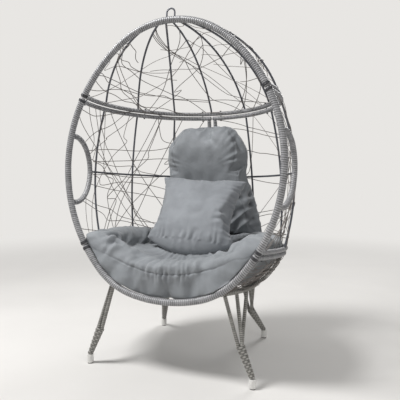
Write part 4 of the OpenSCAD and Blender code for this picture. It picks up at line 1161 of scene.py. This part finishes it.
def spread_pad(piece):
    """Widens the pad round the wall that it leans on, by the bulge of its filling."""
    moved = []
    for x, depth, v in basket_frame(read(piece.data, "co")):
        centre = level(min(max(v, LOW_SEAM_V), HIGH_SEAM_V))[1]
        r = math.hypot(x, depth - centre)
        turn = math.atan2(x, depth - centre) * (PAD_SPREAD - PAD_FOOT_LESS * ease(v, 460, 310))
        moved.append(in_basket(vec(r * math.sin(turn), centre + r * math.cos(turn), v)))
    set_coords(piece.data, np.array(moved))


# Each crease: width, depth, strength of its painted shade, then points of its line
PAD_CREASES = (
    # on the right, at the foot
    (11, 14, 0.65, (165, 466, 380), (205, 486, 425), (238, 490, 478), (275, 465, 520)),
    (11, 15, 0.7, (175, 486, 372), (215, 486, 402), (256, 470, 408), (300, 430, 400)),
    (11, 14, 0.65, (144, 500, 292), (190, 495, 326), (240, 480, 338), (300, 440, 328)),
    # on the left, at the foot
    (10, 13, 0.5, (-150, 480, 400), (-205, 480, 440), (-270, 445, 470)),
    (10, 13, 0.5, (-150, 500, 300), (-210, 490, 330), (-290, 450, 330)),
    # over the shoulders
    (11, 15, 0.5, (-168, 436, 716), (-156, 446, 672), (-150, 452, 618)),
    (12, 10, 0.25, (10, 440, 745), (30, 440, 715), (58, 436, 684)),
    (11, 10, 0.3, (150, 436, 730), (168, 440, 690), (200, 440, 640)),
)


def back_pad_fabric():
    piece = filled("back_pad", "back_pad_fabric", 10, 0.06)
    spread_pad(piece)
    f = Folds(piece, basket_frame)
    x, depth, v = f.points.T
    # the boxing seams run where the pad's faces turn to its edge
    toward = unit(np.stack([-x, 230 - depth], 1))
    facing = (f.normals[:, :2] * toward).sum(1)
    edge = np.sqrt(np.clip(1 - facing ** 2, 0, 1))
    for shift in (-0.5, 0.5):
        f.seam((facing + shift) * 38, edge, 3.0, 2.6)
    # gathers run round the front seam
    round_edge = np.degrees(np.arctan2(v - 560, x)) * 5
    flat = np.stack([round_edge, np.hypot(x, v - 560), 0 * x], 1)
    gather = np.sin(round_edge * 2 * np.pi / 55 + 4 * noise_at(flat, (90, math.inf, 1), 8))
    f.waves(gather * (0.5 + noise_at(flat, (80, 300, 1), 9)), 4.0 * bell(facing - 0.45, 0.3))
    f.waves(noise_at(f.points, (110, 110, 160), 10), 7.0)
    f.waves(noise_at(f.points, (42, 42, 60), 11), 3.5)
    # slanted folds towards the foot
    slanted = np.stack([v - 0.75 * np.abs(x), x, 0 * x], 1)
    f.waves(1 - 2.8 * np.abs(noise_at(slanted, (52, 260, 1), 12)), 6.5 * ease(v, 520, 380))
    f.creases(PAD_CREASES)
    # its foot rests on the nest, and its folds run out towards its edges
    f.push += 4 * ease(-f.normals[:, 2], 0.3, 0.7) * ease(v, 300, 270)
    f.push *= 1 - 0.6 * ease(np.abs(x), 210, 255)
    finish_cushion(piece, f.apply(), "back_pad", "nest", FABRIC)


PILLOW_SIDE, PILLOW_T, PILLOW_EDGE_T = 390.0, 130.0, 5.0
PILLOW_PINCH, PILLOW_SLUMP, PILLOW_SAG = 0.07, 0.8, 0.28
PILLOW_CENTRE = (41.0, 262.0, 659.5)
PILLOW_LEAN, PILLOW_TURN = 30.0, -3.0
# Each crease: width, depth, strength of its painted shade, then points of its line
PILLOW_CREASES = (
    (7, 5, 0.3, (188, -20, 10), (150, -14, 45), (118, -18, 55)),
    (7, 5, 0.25, (184, -60, 12), (140, -46, 45), (110, -52, 52)),
    (8, 5, 0.3, (-40, -196, 8), (-28, -150, 40), (-22, -118, 55)),
    (8, 5, 0.3, (40, -194, 8), (34, -150, 42), (42, -112, 55)),
)


def pillow_place():
    x, y, z = PILLOW_CENTRE
    lean = Matrix.Rotation(math.radians(90 - PILLOW_LEAN), 4, "X")
    turn = Matrix.Rotation(math.radians(PILLOW_TURN), 4, "Z")
    return Matrix.Translation((x, y - CENTRE_Y, z)) @ (lean @ turn)


def pillow_mesh(steps, fullness):
    """The pillow's two faces as fine grids, sewn together at their edge."""
    half = PILLOW_SIDE / 2
    place = pillow_place()
    index, points, faces = {}, [], []
    grid = [(i, j) for i in range(steps + 1) for j in range(steps + 1)]
    for side in (1, -1):
        for i, j in grid:
            on_edge = i in (0, steps) or j in (0, steps)
            if on_edge and side < 0:
                index[side, i, j] = index[1, i, j]
                continue
            a, b = 2 * i / steps - 1, 2 * j / steps - 1
            full = math.sqrt(max((1 - a * a) * (1 - b * b), 0.0))
            t = 0.0 if on_edge else mix(PILLOW_EDGE_T, PILLOW_T * fullness, full) / 2
            x = 1.03 * half * a * (1 - PILLOW_PINCH * (1 - b * b) * a * a)
            y = 6 + 1.04 * half * (PILLOW_SLUMP * b - PILLOW_SAG * (1 - a * a) * ((1 - b) / 2) ** 2)
            index[side, i, j] = len(points)
            points.append(place @ Vector((x, y, side * t)) * MM)
        for i, j in grid:
            if max(i, j) < steps:
                quad = [index[side, i + p, j + q] for p, q in ((0, 0), (1, 0), (1, 1), (0, 1))]
                faces.append(quad[::side])
    mesh = bpy.data.meshes.new("throw_pillow_fabric")
    mesh.from_pydata(points, [], faces)
    mesh.update()
    return mesh


def pillow_fabric():
    mesh = pillow_mesh(60, 0.8)
    piece = new_object("throw_pillow_fabric", mesh)
    inflate(piece, 5.0, 0.05, 0.016)
    subdivide(piece)
    back = pillow_place().inverted()

    def pillow_frame(points):
        return np.array([back @ (Vector(p) / MM) for p in points])

    f = Folds(piece, pillow_frame)
    x, y, z = f.points.T
    a = x / (PILLOW_SIDE / 2)
    b = y / (PILLOW_SIDE / 2) / PILLOW_SLUMP
    to_side, to_end = 1 - np.abs(a), 1 - np.abs(np.clip(b, -1.2, 1))
    face = np.where(z > 0, 1.0, 2.0)
    inside = ease(np.minimum(to_side, to_end), 0, 0.05)
    # folds run in from the sides, most on the right, and from the ends, most at the foot
    for line, other, pitch, seed, share, reach in (
        (y, x, 26, 14, np.where(a > 0, 1.0, 0.55), to_side / 0.15),
        (x, y, 30, 15, np.where(b < 0, 1.0, 0.3), to_end / 0.18),
    ):
        sheet = np.stack([line, other * 0.1, face * 40], 1)
        folds = np.sin(line * 2 * np.pi / pitch + 5 * noise_at(sheet, 60, seed))
        f.waves(folds * (0.5 + noise_at(sheet, 45, seed + 2)), 6.0 * share * np.exp(-reach) * inside)
    f.waves(noise_at(f.points, 90, 18), 5.0 * inside)
    f.waves(noise_at(f.points, 34, 19), 1.8 * inside)
    f.creases(PILLOW_CREASES)
    finish_cushion(piece, f.apply(), "throw_pillow", "pillow", PILLOW_FABRIC)


# Finishes of the CAD pieces that stay


def finish_cad():
    finishes = {
        STEEL: ["dome_ribs", "left_rods", "right_rods", "left_crossbar", "right_crossbar"],
        WIRE: ["hanging_loop"],
        BOLT: ["seam_bolts", "seam_nuts"],
        CAP: [f"{end}_{word}_cap" for end in ("front", "back") for _, word in SIDES],
        GLIDE: ["glides"],
    }
    for material, names in finishes.items():
        for name in names:
            slots = NODES[name].data.materials
            if not slots:
                slots.append(material)
            for i in range(len(slots)):
                slots[i] = material


# Stage, light and camera


BACKDROP = srgb(232, 230, 227)


def floor_material():
    """A pale floor, whose far parts the camera sees in the backdrop's own colour."""
    n = new_material("pale_floor")
    tint = n.ramp(n.noise(2.0), [(0.3, srgb(214, 212, 209)), (0.7, srgb(219, 217, 214))])
    n.fill(n.shader, {"Base Color": tint, "Roughness": 0.8})
    away = n.add("ShaderNodeVectorMath", "Value", {0: n.place()}, operation="LENGTH")
    limits = {"Value": away, "From Min": 1.3, "From Max": 4.5}
    far = n.add("ShaderNodeMapRange", "Result", limits, interpolation_type="SMOOTHSTEP")
    seen = n.add("ShaderNodeLightPath", "Is Camera Ray")
    share = n.add("ShaderNodeMath", "Value", {0: far, 1: seen}, operation="MULTIPLY")
    backdrop = n.add("ShaderNodeEmission", "Emission", {"Color": (*BACKDROP, 1)})
    melt = n.blend(share, n.shader.outputs["BSDF"], backdrop)
    n.fill(n.tree.nodes["Material Output"], {"Surface": melt})
    return n.owner


def floor():
    mesh = bpy.data.meshes.new("floor")
    bm = bmesh.new()
    bmesh.ops.create_circle(bm, cap_ends=True, radius=14.0, segments=96)
    bm.to_mesh(mesh)
    bm.free()
    mesh.materials.append(floor_material())
    new_object("floor", mesh)


def world_light():
    """Soft light from all sides, in place of which the camera sees the backdrop."""
    world = bpy.data.worlds.new("studio")
    bpy.context.scene.world = world
    n = Nodes(world)
    n.tree.nodes.clear()
    kind = "ShaderNodeBackground"
    lit = n.add(kind, "Background", {"Color": (1.0, 0.99, 0.975, 1), "Strength": 0.34})
    seen = n.add(kind, "Background", {"Color": (*BACKDROP, 1), "Strength": 1.0})
    rays = n.node("ShaderNodeLightPath").outputs
    either = {0: rays["Is Camera Ray"], 1: rays["Is Transmission Ray"]}
    share = n.add("ShaderNodeMath", "Value", either, operation="MAXIMUM")
    n.node("ShaderNodeOutputWorld", {"Surface": n.blend(share, lit, seen)})


# Name, place, target, size and power of each lamp
LAMPS = (
    ("key", (-1.5, -1.2, 3.5), (0.0, 0.0, 0.8), 1.0, 134.0),
    ("fill", (2.6, -2.0, 1.8), (0.0, 0.0, 0.7), 2.0, 17.0),
    ("back", (0.6, 2.8, 2.6), (0.0, 0.0, 0.9), 1.6, 42.0),
)


def lamps():
    for name, place, target, size, power in LAMPS:
        lamp = bpy.data.lights.new(name, "AREA")
        lamp.shape = "DISK"
        lamp.size = size
        lamp.energy = power
        light = new_object(name, lamp)
        light.location = place
        light.rotation_euler = (Vector(target) - Vector(place)).to_track_quat("-Z", "Y").to_euler()


def camera():
    """The camera of the photograph."""
    data = bpy.data.cameras.new("camera")
    data.lens = 42.97
    data.sensor_width = 36.0
    eye = new_object("camera", data)
    eye.location = (0.803, -2.065, 0.836)
    eye.rotation_euler = (math.radians(86.616), 0.0, math.radians(20.469))
    bpy.context.scene.camera = eye
    bpy.context.scene.view_settings.view_transform = "Standard"


floor()
world_light()
lamps()
camera()
rim_pieces()
rim_ties()
bar_pieces()
base_pieces()
for leg_side, word in SIDES:
    leg_pieces("front_" + word, FRONT_FOOT, FRONT_STEP, FRONT_ANGLES, leg_side)
    leg_pieces("back_" + word, BACK_FOOT, BACK_STEP, BACK_ANGLES, leg_side)
dome_lacing()
for half_side, word in SIDES:
    middle_lacing(half_side, word)
bowl_lacing()
nest_fabric()
back_pad_fabric()
pillow_fabric()
finish_cad()
